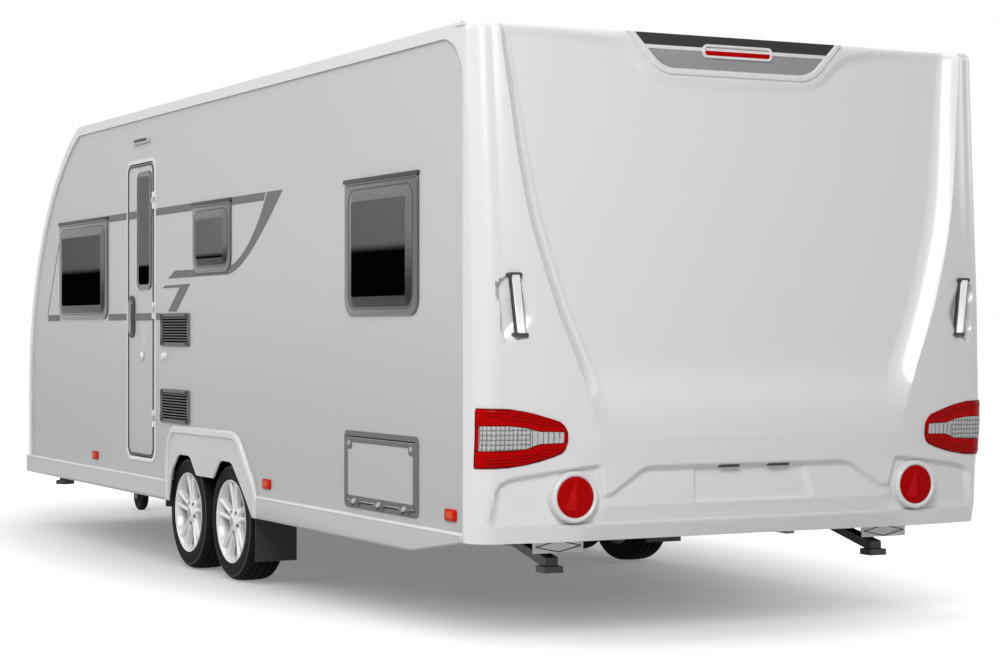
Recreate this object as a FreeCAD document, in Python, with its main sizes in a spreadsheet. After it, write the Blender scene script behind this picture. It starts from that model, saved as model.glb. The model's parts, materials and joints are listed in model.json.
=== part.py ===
import FreeCAD, Part
import math
import os

import Sketcher
from FreeCAD import Placement, Rotation, Vector

# A twin-axle travel caravan, parked on its wheels and its jockey wheel.
#
# The frame is X forward (the towing direction), Y to the left, where the entrance door is, and Z up. The
# origin is on the ground, midway between the rearmost and the foremost point. Lengths along the body are
# counted from a rear datum, the plane between the rear moulding's posts, and station() turns them into X.

doc = FreeCAD.newDocument("travel_caravan")

# ---------------------------------------------------------------- driving dimensions, in mm and degrees
SIZES = {
    # overall
    "body_length": 6420,        # rear datum to the foremost point of the cabin
    "body_width": 2450,         # over the wheel spats and the glazing
    "body_height": 2430,        # ground to the top of the edge rail
    "drawbar_reach": 1400,      # cabin front to the nose of the coupling
    "rear_bulge": 50,           # how far the rear moulding stands out behind the rear datum
    # shell
    "skin_inset": 20,           # overall side to the outer skin of the wall
    "wall": 30,                 # thickness of the side walls and the front
    "roof_thickness": 35,
    "floor_low": 435,
    "floor_thickness": 42,
    "wall_low": 445,
    "wall_rear": 155,           # rear edge of the side walls
    "nose_straight": 830,       # height at which the front begins to curve back
    "nose_radius": 1720,
    "rear_wall": 35,            # thickness of the rear moulding
    "rear_low": 412,
    "bumper_recess": 12,        # depth of the recess that runs along the bumper
    "handle_pocket": 26,        # depth of the pocket behind each grab handle
    "reflector_ring": 100,      # radius of the boss that carries a reflector
    # edge rails
    "rail_width": 50,
    "rail_top": 10,             # thickness over the wall's edge
    "rail_proud": 10,           # thickness over the wall's skin
    "rail_lap": 10,             # how far the rail reaches over the roof
    "rail_corner": 190,         # inner radius at the rear upper corner
    # front
    "locker_low": 500,          # gas locker opening
    "locker_high": 1010,
    "locker_half": 900,
    "locker_depth": 350,
    "lid_gap": 8,
    "board": 15,                # thickness of the furniture's boards
    # running gear
    "front_axle_at": 3460,
    "rear_axle_at": 2826,
    "tyre_height": 91.5,        # rim seat to tread
    "wheel_inset": 135,         # overall side to the middle of the tyre
    "tyre_half": 82,            # half width at the bead and at the shoulder
    "tyre_bulge": 13,
    "tyre_shoulder": 20,
    "rim_radius": 200,
    "rim_lip": 205.5,
    "rim_wall": 12,
    "rim_depth": 94,            # middle of the tyre to the rim's outer plane
    "hub_radius": 62,
    "drum_radius": 130,
    "drum_inner": 70,           # middle of the tyre to the drum's open edge
    "stub_radius": 20,
    "running_clearance": 0.05,
    "seat_gap": 0.3,            # between curved faces that seat on each other
    "spoke_inner": 48,          # middle of the tyre to the spokes' inner face
    "spoke_outer": 78,
    "axle_tube": 45,
    "axle_lead": 150,           # the axle tube lies this far ahead of the wheels that it carries
    "axle_drop": 10,            # and this far below them
    "arm_thickness": 40,
    "arm_inset": 295,           # overall side to the trailing arm's inner face
    # wheel boxes and mud flaps
    "box_front": 3790,
    "box_rear": 2500,
    "box_reach": 300,           # overall side to the wheel box's space
    "box_high": 650,
    "box_wall": 12,
    "flap_at": 2464,
    "flap_thickness": 5,
    "flap_low": 125,
    "flap_inset": 35,           # overall side to the flap's outer edge
    "flap_width": 212,
    # skirts and spats
    "skirt_low": 338,
    "skirt_inset": 3,           # overall side to the skirt's face
    "skirt_thickness": 27,
    "skirt_ahead": 38,          # how far the skirt runs on ahead of the cabin
    "spat_thickness": 20,
    "spat_round": 40,
    # chassis
    "frame_rail_inset": 565,    # overall side to the rail's inner face
    "frame_rail_width": 40,
    "frame_rail_rear": 700,
    "frame_rail_back": 820,     # cabin front to the chassis rails' front ends
    "cross_depth": 60,
    "cross_width": 60,
    "drawbar_lead": 980,        # cabin front to the front of the drawbar's members
    "drawbar_half": 35,         # half the gap between the members at the front
    "drawbar_member": 40,
    "drawbar_low": 335,
    "coupling_z": 405,
    "coupling_tube": 30,
    "coupling_shell": 55,
    "socket_radius": 25.3,
    # jockey wheel
    "jockey_lead": 840,         # cabin front to the jockey wheel's tube
    "jockey_y": 215,
    "jockey_radius": 100,
    "jockey_width": 50,
    "jockey_trail": 35,
    "jockey_tube": 30,
    "jockey_stem": 22,
    "jockey_pin": 8,
    "jockey_high": 735,
    "cheek": 5,
    # corner steadies
    "rear_steady_at": 620,
    "rear_steady_inset": 435,   # overall side to the leg's middle
    "front_steady_back": 590,   # cabin front to the front steadies' pivots
    "front_steady_inset": 375,
    "front_steady_turn": 33,    # the front legs point outwards by this angle
    "steady_pivot_z": 397,
    "steady_reach": 391,        # pivot to the middle of the foot
    "steady_drop": 127,         # pivot to the underside of the foot when wound up
    "steady_width": 56,
    "steady_pin": 8,
    # entrance door
    "door_rear": 3915,
    "door_width": 501,
    "door_low": 523,
    "door_high": 2164,
    "door_corner": 70,
    "door_face": 20,            # width of the door frame's face
    "frame_proud": 4,
    "leaf_gap": 8,
    "leaf_thickness": 36,
    "leaf_proud": 3,
    "hinge_radius": 6,
    "knuckle": 30,              # length of a hinge knuckle
    "knuckle_gap": 0.5,
    "knob_radius": 16,
    # hatches
    "hatch_rim": 22,
    "hatch_gap": 6,
    "hatch_depth": 25,
    # windows
    "window_rim": 30,           # the rim's lap over the wall
    "window_rim_proud": 6,
    "window_liner": 10,
    "pane_inset": 8,
    "pane_edge": 7,
    "pane_step": 3,             # how far the middle of a pane stands out from its border
    "pane_border": 48,          # width of that border
    "front_pane": 10,
    # rear fittings
    "lamp_proud": 5,
    "hood_at": 98,
    "cover_proud": 14,
}

sheet = doc.addObject("Spreadsheet::Sheet", "dims")
for row, (alias, amount) in enumerate(SIZES.items(), 1):
    sheet.set(f"A{row}", alias)
    sheet.set(f"B{row}", str(amount))
    sheet.setAlias(f"B{row}", alias)
doc.recompute()


# ---------------------------------------------------------------- sizes that follow the sheet
class Size:
    """A size with two faces: the number that it has now, and the expression that ties it to the sheet."""

    def __init__(self, text, value):
        self.text = text
        self.value = float(value)

    def __add__(self, other):
        other = as_size(other)
        return Size(f"({self.text} + {other.text})", self.value + other.value)

    def __sub__(self, other):
        other = as_size(other)
        return Size(f"({self.text} - {other.text})", self.value - other.value)

    def __mul__(self, factor):
        factor = as_size(factor)
        return Size(f"({self.text} * {factor.text})", self.value * factor.value)

    def __truediv__(self, factor):
        factor = as_size(factor)
        return Size(f"({self.text} / {factor.text})", self.value / factor.value)

    def __radd__(self, other):
        return as_size(other) + self

    def __rsub__(self, other):
        return as_size(other) - self

    def __rmul__(self, factor):
        return as_size(factor) * self

    def __neg__(self):
        return as_size(0) - self


def as_size(amount):
    """A plain number as a Size; a Size as it is."""
    return amount if isinstance(amount, Size) else Size(f"({amount:.6f})", amount)


def number(amount):
    return as_size(amount).value


def root(size):
    return Size(f"sqrt({size.text})", math.sqrt(size.value))


class Dimensions:
    """The sheet's cells by name."""


dims = Dimensions()
for alias, amount in SIZES.items():
    setattr(dims, alias, Size("dims." + alias, amount))

total_length = dims.rear_bulge + dims.body_length + dims.drawbar_reach
widest = dims.body_width / 2
skin = widest - dims.skin_inset                     # outer face of the side walls
inside = skin - dims.wall                           # inner face of the side walls
rail_face = skin + dims.rail_proud
floor_high = dims.floor_low + dims.floor_thickness
roof_high = dims.body_height - dims.rail_top
roof_low = roof_high - dims.roof_thickness
panel_inset = dims.rail_top                         # the walls' outline lies this far inside the rails'
wheel_radius = dims.rim_radius + dims.tyre_height
axle_z = wheel_radius - dims.axle_drop
frame_low = axle_z + dims.axle_tube                 # the chassis rails rest on the axles' seats
wheel_y = widest - dims.wheel_inset                 # middle of the tyre
arm_inner = widest - dims.arm_inset
frame_rail_y = widest - dims.frame_rail_inset
box_inner = widest - dims.box_reach
skirt_outer = widest - dims.skirt_inset
skirt_inner = skirt_outer - dims.skirt_thickness
flap_outer = widest - dims.flap_inset
frame_rail_front = dims.body_length - dims.frame_rail_back
drawbar_front = dims.body_length + dims.drawbar_lead


def station(ahead):
    """X of a place that is given by its distance ahead of the rear datum."""
    return ahead + dims.rear_bulge - total_length / 2


def stations(pair):
    return station(pair[0]), station(pair[1])


def grown(pair, amount):
    """A (low, high) pair made larger at both ends."""
    return pair[0] - amount, pair[1] + amount


def about(middle, half):
    """The (low, high) pair that reaches half to each side of middle."""
    return middle - half, middle + half


# ---------------------------------------------------------------- drawing helpers
NORMAL = {"XY": "z", "XZ": "y", "YZ": "x"}
ALONG = {"x": Vector(1, 0, 0), "y": Vector(0, 1, 0), "z": Vector(0, 0, 1)}


def bind(item, property_name, size):
    item.setExpression(property_name, as_size(size).text)


def put(item, x=0, y=0, z=0):
    """Binds an object's place to the sheet and leaves its turn as it is."""
    for axis, size in zip("xyz", (x, y, z)):
        bind(item, f"Placement.Base.{axis}", size)
    return item


def box(name, x, y, z):
    """A block between (low, high) pairs."""
    item = doc.addObject("Part::Box", name)
    for extent, (low, high) in zip(("Length", "Width", "Height"), (x, y, z)):
        bind(item, extent, as_size(high) - low)
    return put(item, x[0], y[0], z[0])


def rod(name, axis, at, radius, ends):
    """A cylinder along an axis between its ends; at gives the other two coordinates in X, Y, Z order."""
    item = doc.addObject("Part::Cylinder", name)
    item.Placement = Placement(Vector(), Rotation(Vector(0, 0, 1), ALONG[axis]))
    bind(item, "Radius", radius)
    bind(item, "Height", as_size(ends[1]) - ends[0])
    place = list(at)
    place.insert("xyz".index(axis), ends[0])
    return put(item, *place)


def arc_edge(start, end, radius):
    """The short arc between two points: it turns left on its way where radius is positive."""
    across = end - start
    half = across.Length / 2
    left = Vector(-across.y, across.x, 0).normalize()
    offset = math.copysign(math.sqrt(max(radius * radius - half * half, 0)), radius)
    centre = (start + end) * 0.5 + left * offset
    angles = [math.atan2(point.y - centre.y, point.x - centre.x) for point in (start, end)]
    if radius < 0:
        angles.reverse()
    circle = Part.Circle(centre, Vector(0, 0, 1), abs(radius))
    return Part.ArcOfCircle(circle, *angles)


def draw_loop(drawing, points):
    """A closed outline whose corners are tied to the sheet. A corner is (across, up), or (across, up, radius)
    where an arc leads on from it: a positive radius turns left, a negative one right."""
    ends = []
    rules = []
    for here, there in zip(points, points[1:] + points[:1]):
        start, end = (Vector(number(point[0]), number(point[1]), 0) for point in (here, there))
        if len(here) == 2:
            index = drawing.addGeometry(Part.LineSegment(start, end), False)
            ends.append((index, 1, 2))
            continue
        radius = as_size(here[2])
        index = drawing.addGeometry(arc_edge(start, end, radius.value), False)
        turns_right = radius.value < 0
        ends.append((index, 2, 1) if turns_right else (index, 1, 2))
        radius = -radius if turns_right else radius
        rules.append((Sketcher.Constraint("Radius", index, radius.value), radius))
    for (index, start_point, _), point in zip(ends, points):
        for kind, size in zip(("DistanceX", "DistanceY"), point):
            rules.append((Sketcher.Constraint(kind, -1, 1, index, start_point, number(size)), as_size(size)))
    for (index, _, end_point), (after, after_start, _) in zip(ends, ends[1:] + ends[:1]):
        rules.append((Sketcher.Constraint("Coincident", index, end_point, after, after_start), None))
    first = drawing.ConstraintCount
    drawing.addConstraint([rule for rule, _ in rules])
    for place, (_, size) in enumerate(rules, first):
        if size is not None and "dims." in size.text:
            drawing.setExpression(f"Constraints[{place}]", size.text)


def sketch(body, plane, loops, title="outline"):
    """A drawing on one of the body's own planes."""
    drawing = body.newObject("Sketcher::SketchObject", f"{body.Name}_{title}")
    origin = next(item for item in body.Origin.OriginFeatures if item.Role == plane + "_Plane")
    drawing.AttachmentSupport = [(origin, "")]
    drawing.MapMode = "FlatFace"
    for points in loops:
        draw_loop(drawing, points)
    return drawing


def prism(name, plane, loops, ends):
    """Outlines drawn on a plane and carried across it between its ends; loops after the first are holes."""
    body = doc.addObject("PartDesign::Body", name)
    pad = body.newObject("PartDesign::Pad", name + "_pad")
    pad.Profile = sketch(body, plane, loops)
    pad.Reversed = plane == "XZ"
    bind(pad, "Length", as_size(ends[1]) - ends[0])
    bind(body, "Placement.Base." + NORMAL[plane], ends[0])
    return body


def turned(name, points, x, y, z):
    """A shape turned about an axle along Y through (x, z); points are (along the axle from y, radius)."""
    body = doc.addObject("PartDesign::Body", name)
    drawing = sketch(body, "YZ", [points])
    revolution = body.newObject("PartDesign::Revolution", name + "_turn")
    revolution.Profile = drawing
    revolution.ReferenceAxis = (drawing, ["H_Axis"])
    revolution.Angle = 360
    return put(body, x, y, z)


def fuse(name, pieces):
    item = doc.addObject("Part::MultiFuse", name)
    item.Shapes = pieces
    item.Refine = True
    return item


def cut(name, base, tools):
    item = doc.addObject("Part::Cut", name)
    item.Base = base
    item.Tool = tools[0] if len(tools) == 1 else fuse(name + "_tools", tools)
    return item


def common(name, pieces):
    item = doc.addObject("Part::MultiCommon", name)
    item.Shapes = pieces
    return item


def group(name, pieces):
    """Separate solids that share a node."""
    item = doc.addObject("Part::Compound", name)
    item.Links = pieces
    return item


def mirrored(name, source):
    """The same piece on the other side of the caravan."""
    item = doc.addObject("Part::Mirroring", name)
    item.Source = source
    item.Normal = Vector(0, 1, 0)
    return item


def both_sides(name, pieces):
    """Pieces on the left together with their mirror images on the right."""
    others = [mirrored(piece.Name + "_right", piece) for piece in pieces]
    return group(name, pieces + others)


def softened(name, base, radius, chosen):
    """Rounds those edges of base for which chosen(edge) holds."""
    doc.recompute()
    item = doc.addObject("Part::Fillet", name)
    item.Base = base
    picked = [place for place, edge in enumerate(base.Shape.Edges, 1) if chosen(edge)]
    item.Edges = [(place, number(radius), number(radius)) for place in picked]
    return item


def runs_along(edge, axis):
    return isinstance(edge.Curve, Part.Line) and abs(abs(edge.Curve.Direction.dot(ALONG[axis])) - 1) < 1e-6


def lies_at_y(y):
    """Chooses the edges that lie in the plane at y."""
    place = number(y)
    return lambda edge: max(abs(edge.BoundBox.YMin - place), abs(edge.BoundBox.YMax - place)) < 1e-6


def rounded(across, up, radius):
    """A rectangle with four round corners, between (low, high) pairs."""
    left, right = across
    bottom, top = up
    return [
        (left + radius, bottom),
        (right - radius, bottom, radius),
        (right, bottom + radius),
        (right, top - radius, radius),
        (right - radius, top),
        (left + radius, top, radius),
        (left, top - radius),
        (left, bottom + radius, radius),
    ]


def knuckle(title, axis, at, spans, tab):
    """A hinge knuckle about an axis with the tab that carries it.

    at gives the axis's other coordinates, spans the ends along it, and tab the (low, high) pairs of the tab
    across those coordinates, all in X, Y, Z order."""
    extents = list(tab)
    extents.insert("xyz".index(axis), spans)
    return [rod(title, axis, at, dims.hinge_radius, spans), box(title + "_tab", *extents)]


def hinge_knuckles(title, axis, at, middles, fixed_tab, moving_tab):
    """Three-knuckle hinges along an axis: the outer two belong to the frame, the middle one to the leaf."""
    half, gap = dims.knuckle / 2, dims.knuckle_gap
    fixed, moving = [], []
    for place, middle in enumerate(middles):
        name = f"{title}_{place}"
        fixed += knuckle(name + "_first", axis, at, (middle - 3 * half, middle - half - gap), fixed_tab)
        fixed += knuckle(name + "_last", axis, at, (middle + half + gap, middle + 3 * half), fixed_tab)
        moving += knuckle(name + "_leaf", axis, at, about(middle, half), moving_tab)
    return fixed, moving


nodes = []


def node(name, item):
    """Names a finished sub-part; the name is its file's too."""
    item.Label = name
    nodes.append(item)


# ---------------------------------------------------------------- the body's side outline
def nose_x(inset, height):
    """X on the front's curve at a height above its straight foot, inset inside the outermost outline."""
    radius = dims.nose_radius - inset
    rise = height - dims.nose_straight
    return station(dims.body_length - dims.nose_radius + root(radius * radius - rise * rise))


def front_x(inset):
    return station(dims.body_length - inset)


def nose_edge(inset, low, high):
    """The front's outline upwards, up to a point that whatever follows leads on from."""
    if number(low) < number(dims.nose_straight):
        return [(front_x(inset), low), (front_x(inset), dims.nose_straight, dims.nose_radius - inset),
                (nose_x(inset, high), high)]
    return [(nose_x(inset, low), low, dims.nose_radius - inset), (nose_x(inset, high), high)]


def nose_edge_down(inset, low, high):
    """The same outline downwards."""
    if number(low) < number(dims.nose_straight):
        return [(nose_x(inset, high), high, inset - dims.nose_radius), (front_x(inset), dims.nose_straight),
                (front_x(inset), low)]
    return [(nose_x(inset, high), high, inset - dims.nose_radius), (nose_x(inset, low), low)]


def nose_band(name, inset, thickness, up, across):
    """A piece of curved sheet that follows the front, between two heights and two values of Y."""
    low, high = up
    loop = nose_edge(inset, low, high) + nose_edge_down(inset + thickness, low, high)
    return prism(name, "XZ", [loop], across)


# ---------------------------------------------------------------- where the openings in the shell are
front_window = (dims.body_length - 1663, dims.body_length - 708)
# columns: name, (rear edge, front edge), (lower edge, upper edge), corner radius; lengths from the rear datum
LEFT_WINDOWS = [
    ("front", front_window, (1293, 1879), 45),
    ("kitchen", (2757, 3300), (1527, 1883), 70),
    ("rear", (568, 1330), (1292, 1880), 45),
]
RIGHT_WINDOWS = [
    ("front", front_window, (1293, 1879), 45),
    ("middle", (3050, 4012), (1293, 1879), 45),
    ("washroom", (787, 1330), (1527, 1883), 70),
]
# columns: name, (lower edge, upper edge), (inner y, outer y)
FRONT_WINDOWS = [
    ("middle", (1330, 1930), (705 - widest, widest - 705)),
    ("left", (1330, 1860), (widest - 635, widest - 235)),
    ("right", (1330, 1860), (235 - widest, 635 - widest)),
]
STORAGE_HATCH = (578, 1339), (473, 803)
TOILET_HATCH = (660, 1060), (505, 845)
# columns: name, middle, length, width
ROOFLIGHTS = [("front", 4650, 700, 500), ("rear", 1500, 400, 400)]

door_across = dims.door_rear, dims.door_rear + dims.door_width
door_up = dims.door_low, dims.door_high
door_hole_across = grown(door_across, -dims.door_face)
door_hole_up = grown(door_up, -dims.door_face)
hole_corner = 20


# ---------------------------------------------------------------- side walls
def arch_cut(name, across):
    """What the wall leaves free for the two tyres behind the spat."""
    low = dims.wall_low - 5
    high = dims.box_high - 10
    front = dims.front_axle_at + 255
    rear = dims.rear_axle_at - 326
    return prism(name, "XZ", [[
        (station(rear), low),
        (station(front), low),
        (station(front - 25), low + 120),
        (station(front - 130), high),
        (station(rear + 130), high),
        (station(rear + 20), low + 100),
    ]], across)


def side_wall(name, holes):
    """A sandwich wall on the left with rounded holes, given as (name, along, up, corner radius)."""
    loop = [(station(dims.wall_rear), dims.wall_low)]
    loop += nose_edge(panel_inset, dims.wall_low, roof_high)
    loop += [(station(dims.wall_rear), roof_high)]
    panel = prism(name + "_panel", "XZ", [loop], (inside, skin))
    through = inside - 5, skin + 5
    tools = [arch_cut(name + "_arch", through)]
    for title, across, up, radius in holes:
        tools.append(prism(f"{name}_{title}", "XZ", [rounded(stations(across), up, radius)], through))
    return cut(name, panel, tools)


def window_holes(windows):
    return [
        (name + "_hole", grown(across, -dims.window_rim), grown(up, -dims.window_rim), hole_corner)
        for name, across, up, _ in windows
    ]


def hatch_hole(hatch):
    across, up = hatch
    return "hatch_hole", grown(across, -dims.hatch_rim), grown(up, -dims.hatch_rim), hole_corner


door_hole = ("door_hole", door_hole_across, door_hole_up, dims.door_corner - dims.door_face)
left_wall = side_wall("left_wall", window_holes(LEFT_WINDOWS) + [door_hole, hatch_hole(STORAGE_HATCH)])
right_wall = side_wall("right_wall", window_holes(RIGHT_WINDOWS) + [hatch_hole(TOILET_HATCH)])
node("left_side_wall", left_wall)
node("right_side_wall", mirrored("right_wall_placed", right_wall))


# ---------------------------------------------------------------- floor, roof and front
def floor():
    slab = box("floor_slab", (station(dims.wall_rear), front_x(panel_inset + dims.wall)), (-inside, inside),
               (dims.floor_low, floor_high))
    across = stations((dims.box_rear, dims.box_front))
    through = grown((dims.floor_low, floor_high), 5)
    notches = [
        box("floor_notch_left", across, (box_inner, skin), through),
        box("floor_notch_right", across, (-skin, -box_inner), through),
    ]
    return cut("floor_board", slab, notches)


def roof():
    panel = prism("roof_panel", "XZ", [[
        (station(dims.wall_rear), roof_low),
        (nose_x(panel_inset + dims.wall, roof_low), roof_low),
        (nose_x(panel_inset, roof_high), roof_high),
        (station(dims.wall_rear), roof_high),
    ]], (-inside, inside))
    holes = [
        box(f"roof_hole_{name}", stations(about(middle, length / 2)), about(0, width / 2),
            grown((roof_low, roof_high), 5))
        for name, middle, length, width in ROOFLIGHTS
    ]
    return cut("roof_board", panel, holes)


lid_hinge_z = dims.locker_high - 4
lid_hinge_x = nose_x(panel_inset, lid_hinge_z) + dims.hinge_radius + 1
lid_fixed_knuckles, lid_knuckles = hinge_knuckles(
    "lid_hinge", "y", (lid_hinge_x, lid_hinge_z), [-600, 0, 600],
    ((lid_hinge_x - 15, lid_hinge_x), (lid_hinge_z, lid_hinge_z + 16)),
    ((lid_hinge_x - 15, lid_hinge_x), (lid_hinge_z - 16, lid_hinge_z)))


def front_panel():
    inner = panel_inset + dims.wall
    loop = nose_edge(panel_inset, dims.wall_low, roof_high) + nose_edge_down(inner, dims.wall_low, roof_low)
    moulding = prism("front_moulding", "XZ", [loop], (-inside, inside))
    through = front_x(900), front_x(-10)
    holes = [
        box("front_hole_" + name, through, grown(across, -dims.window_rim), grown(up, -dims.window_rim))
        for name, up, across in FRONT_WINDOWS
    ]
    holes.append(box("locker_hole", through, about(0, dims.locker_half), (dims.locker_low, dims.locker_high)))
    return fuse("front_shell", [cut("front_pierced", moulding, holes)] + lid_fixed_knuckles)


def locker_lid():
    """The gas locker's lid, hinged along its top edge, with a grip for each hand."""
    up = grown((dims.locker_low, dims.locker_high), -dims.lid_gap)
    lid = nose_band("locker_sheet", panel_inset, dims.wall, up, about(0, dims.locker_half - dims.lid_gap))
    grips = [
        box(f"locker_grip_{title}", (front_x(panel_inset + 2), front_x(-8)), about(y, 60),
            (dims.locker_low + 60, dims.locker_low + 95))
        for title, y in (("left", 520), ("right", -520))
    ]
    return fuse("locker_lid_shape", [lid] + grips + lid_knuckles)


node("floor", floor())
node("roof", roof())
node("front_panel", front_panel())
node("front_locker_lid", locker_lid())


# ---------------------------------------------------------------- edge rails, spats and skirts
def edge_rail():
    """The rail round one side: a plate on the wall's skin and a flange over its edge."""
    top = dims.body_height
    inner_top = top - dims.rail_width
    rear = station(dims.wall_rear)
    plate = nose_edge(0, dims.wall_low, top)
    plate += [(rear, top), (rear, inner_top - dims.rail_corner, -dims.rail_corner),
              (rear + dims.rail_corner, inner_top)]
    plate += nose_edge_down(dims.rail_width, dims.wall_low, inner_top)
    face = prism("rail_face", "XZ", [plate], (skin, rail_face))
    strip = nose_edge(0, dims.wall_low, top) + [(rear, top), (rear, roof_high)]
    strip += nose_edge_down(dims.rail_top, dims.wall_low, roof_high)
    flange = prism("rail_flange", "XZ", [strip], (inside - dims.rail_lap, rail_face))
    return fuse("edge_rail", [face, flange])


node("edge_rails", both_sides("edge_rail_pair", [edge_rail()]))

# (ahead of the middle between the wheels, up): round the outside, then back along the two arches
SPAT_OUTSIDE = [(579, 338), (579, 610), (497, 736), (-486, 742), (-767, 462), (-753, 338)]
SPAT_ARCHES = [(-690, 338), (-583, 440), (-405, 588), (-242, 588), (-143, 494),
               (107, 494), (206, 588), (385, 588), (497, 490), (560, 338)]


def spat():
    middle = (dims.front_axle_at + dims.rear_axle_at) / 2
    loop = [(station(middle + ahead), up) for ahead, up in SPAT_OUTSIDE + SPAT_ARCHES]
    plate = prism("spat_plate", "XZ", [loop], (skin, skin + dims.spat_thickness))
    above = number(dims.skirt_low) + 60
    return softened("spat", plate, dims.spat_round,
                    lambda edge: runs_along(edge, "y") and edge.CenterOfMass.z > above)


node("wheel_spats", both_sides("spat_pair", [spat()]))


def skirts():
    """The lower side rails, ahead of the spat and behind it; the rear one rises towards its end."""
    inner, outer = skirt_inner, skirt_outer
    low, high = dims.skirt_low, dims.wall_low
    section = [(inner, low), (outer - 8, low), (outer, low + 14), (outer, high - 14), (outer - 6, high),
               (inner, high)]
    middle = (dims.front_axle_at + dims.rear_axle_at) / 2
    front = prism("skirt_front", "YZ", [section],
                  (station(middle + SPAT_OUTSIDE[0][0]), front_x(-dims.skirt_ahead)))
    whole = prism("skirt_rear_whole", "YZ", [section],
                  (station(dims.wall_rear), station(middle + min(ahead for ahead, _ in SPAT_OUTSIDE))))
    rise = prism("skirt_rear_rise", "XZ", [[
        (station(dims.wall_rear - 10), low - 5),
        (station(dims.wall_rear + 500), low - 5),
        (station(dims.wall_rear + 500), low),
        (station(dims.wall_rear + 76), low + 62),
        (station(dims.wall_rear - 10), low + 76),
    ]], (inner - 5, outer + 5))
    return [front, cut("skirt_rear", whole, [rise])]


node("side_skirts", both_sides("skirt_set", skirts()))

# ---------------------------------------------------------------- rear moulding
# The moulding has a post at each side and a recessed middle. Each row is a plan section.
# columns: share of the height, ridge's distance from the side, ridge depth, flank foot's distance from the
# side, flank foot depth, corner depth and radius; depths are counted ahead of the rear datum
REAR_SECTIONS = [
    (0.000, 495, 12, 605, 12, 40, 100),
    (0.034, 495, -14, 605, -14, 28, 100),
    (0.143, 495, -28, 605, -28, 12, 100),
    (0.207, 495, -44, 605, -44, 0, 100),
    (0.264, 458, -50, 565, -8, -4, 100),
    (0.465, 302, -30, 405, 35, 6, 100),
    (0.653, 199, 0, 290, 62, 28, 95),
    (0.926, 130, 45, 205, 106, 62, 85),
    (1.000, 123, 58, 195, 118, 70, 80),
]


def rear_section(row, proud):
    """One plan section of the rear moulding as a closed wire, moved outwards by proud."""
    share, ridge_in, ridge_depth, foot_in, foot_depth, corner_depth, corner = row
    z = number(dims.rear_low + (dims.body_height - dims.rear_low) * share)
    edge_y = number(rail_face) + proud
    ridge_y, foot_y = (number(rail_face) - distance for distance in (ridge_in, foot_in))
    back = number(station(dims.wall_rear)) - min(proud, 0)
    datum = number(station(0)) - proud
    turn = corner * (1 - math.sqrt(0.5))
    half = [
        Vector(back, edge_y, z),
        Vector(datum + corner_depth + corner, edge_y, z),
        Vector(datum + corner_depth + turn, edge_y - turn, z),
        Vector(datum + corner_depth, edge_y - corner, z),
        Vector(datum + ridge_depth, ridge_y, z),
        Vector(datum + foot_depth, foot_y, z),
    ]
    other = [Vector(point.x, -point.y, point.z) for point in half]
    return Part.Wire([
        Part.makeLine(half[0], half[1]),
        Part.Arc(half[1], half[2], half[3]).toShape(),
        Part.makeLine(half[3], half[4]),
        Part.makeLine(half[4], half[5]),
        Part.makeLine(half[5], other[5]),
        Part.makeLine(other[5], other[4]),
        Part.makeLine(other[4], other[3]),
        Part.Arc(other[3], other[2], other[1]).toShape(),
        Part.makeLine(other[1], other[0]),
        Part.makeLine(other[0], half[0]),
    ])


def rear_loft(name, proud):
    """The moulding's outer surface closed to a block: a ruled loft through the plan sections."""
    item = doc.addObject("Part::Feature", name)
    item.Shape = Part.makeLoft([rear_section(row, number(proud)) for row in REAR_SECTIONS], True, True)
    return item


# outlines on the left half, seen from behind: (distance in from the moulding's side, height)
BUMPER_RECESS = [(46, 484), (74, 632), (112, 661), (346, 697), (470, 706), (530, 604), (556, 604), (711, 703)]
HANDLE_POCKET = [(132, 1470), (76, 1420), (102, 1184), (161, 1188), (262, 1300)]
reflector_place = rail_face - 399, 587


def sunk(name, outline, depth):
    """A block over an outline that reaches depth into the moulding and follows its surface."""
    reach = prism(name + "_reach", "YZ", [outline], stations((-90, 150)))
    return cut(name, reach, [rear_loft(name + "_floor", 0 - depth)])


def bumper_recess():
    """The recess along the bumper, with a round boss left standing in it for each reflector."""
    left = [(rail_face - distance, z) for distance, z in BUMPER_RECESS]
    right = [(distance - rail_face, z) for distance, z in reversed(BUMPER_RECESS)]
    boss = rod("reflector_boss", "x", reflector_place, dims.reflector_ring, stations((-95, 155)))
    return cut("bumper_recess", sunk("bumper_sunk", left + right, dims.bumper_recess),
               [boss, mirrored("reflector_boss_right", boss)])


def rear_panel():
    high = dims.body_height
    crown = prism("rear_crown", "XZ", [[
        (station(-200), 300),
        (station(dims.wall_rear), 300),
        (station(dims.wall_rear), high),
        (station(125), high, 110),
        (station(20), high - 120),
        (station(-200), high - 120),
    ]], (-widest, widest))
    block = common("rear_body", [rear_loft("rear_block", 0), crown])
    reach = box("rear_hollow_reach", stations((-200, 400)), (-widest, widest),
                (dims.rear_low + dims.rear_wall, roof_low))
    hollow = common("rear_hollow", [rear_loft("rear_hollow_block", -dims.rear_wall), reach])
    shell = cut("rear_shell", block, [hollow])
    hood = prism("rear_hood", "YZ", [[
        (-500, high - 4), (-440, high - 60), (-345, high - 150),
        (345, high - 150), (440, high - 60), (500, high - 4),
    ]], stations((dims.hood_at, dims.wall_rear)))
    plate_recess = box("plate_recess", stations((-100, -10)), (-300, 300), (545, 703))
    outline = [(rail_face - distance, z) for distance, z in HANDLE_POCKET]
    pockets = both_sides("handle_pockets", [sunk("handle_pocket", outline, dims.handle_pocket)])
    return cut("rear_moulding", fuse("rear_solid", [shell, hood]), [plate_recess, bumper_recess(), pockets])


node("rear_panel", rear_panel())

# the tail lamp's outline: (distance in from the moulding's side, height)
LAMP_OUTLINE = [(-15, 700), (-15, 945), (143, 927), (332, 878), (357, 820), (332, 756), (143, 713)]


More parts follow.
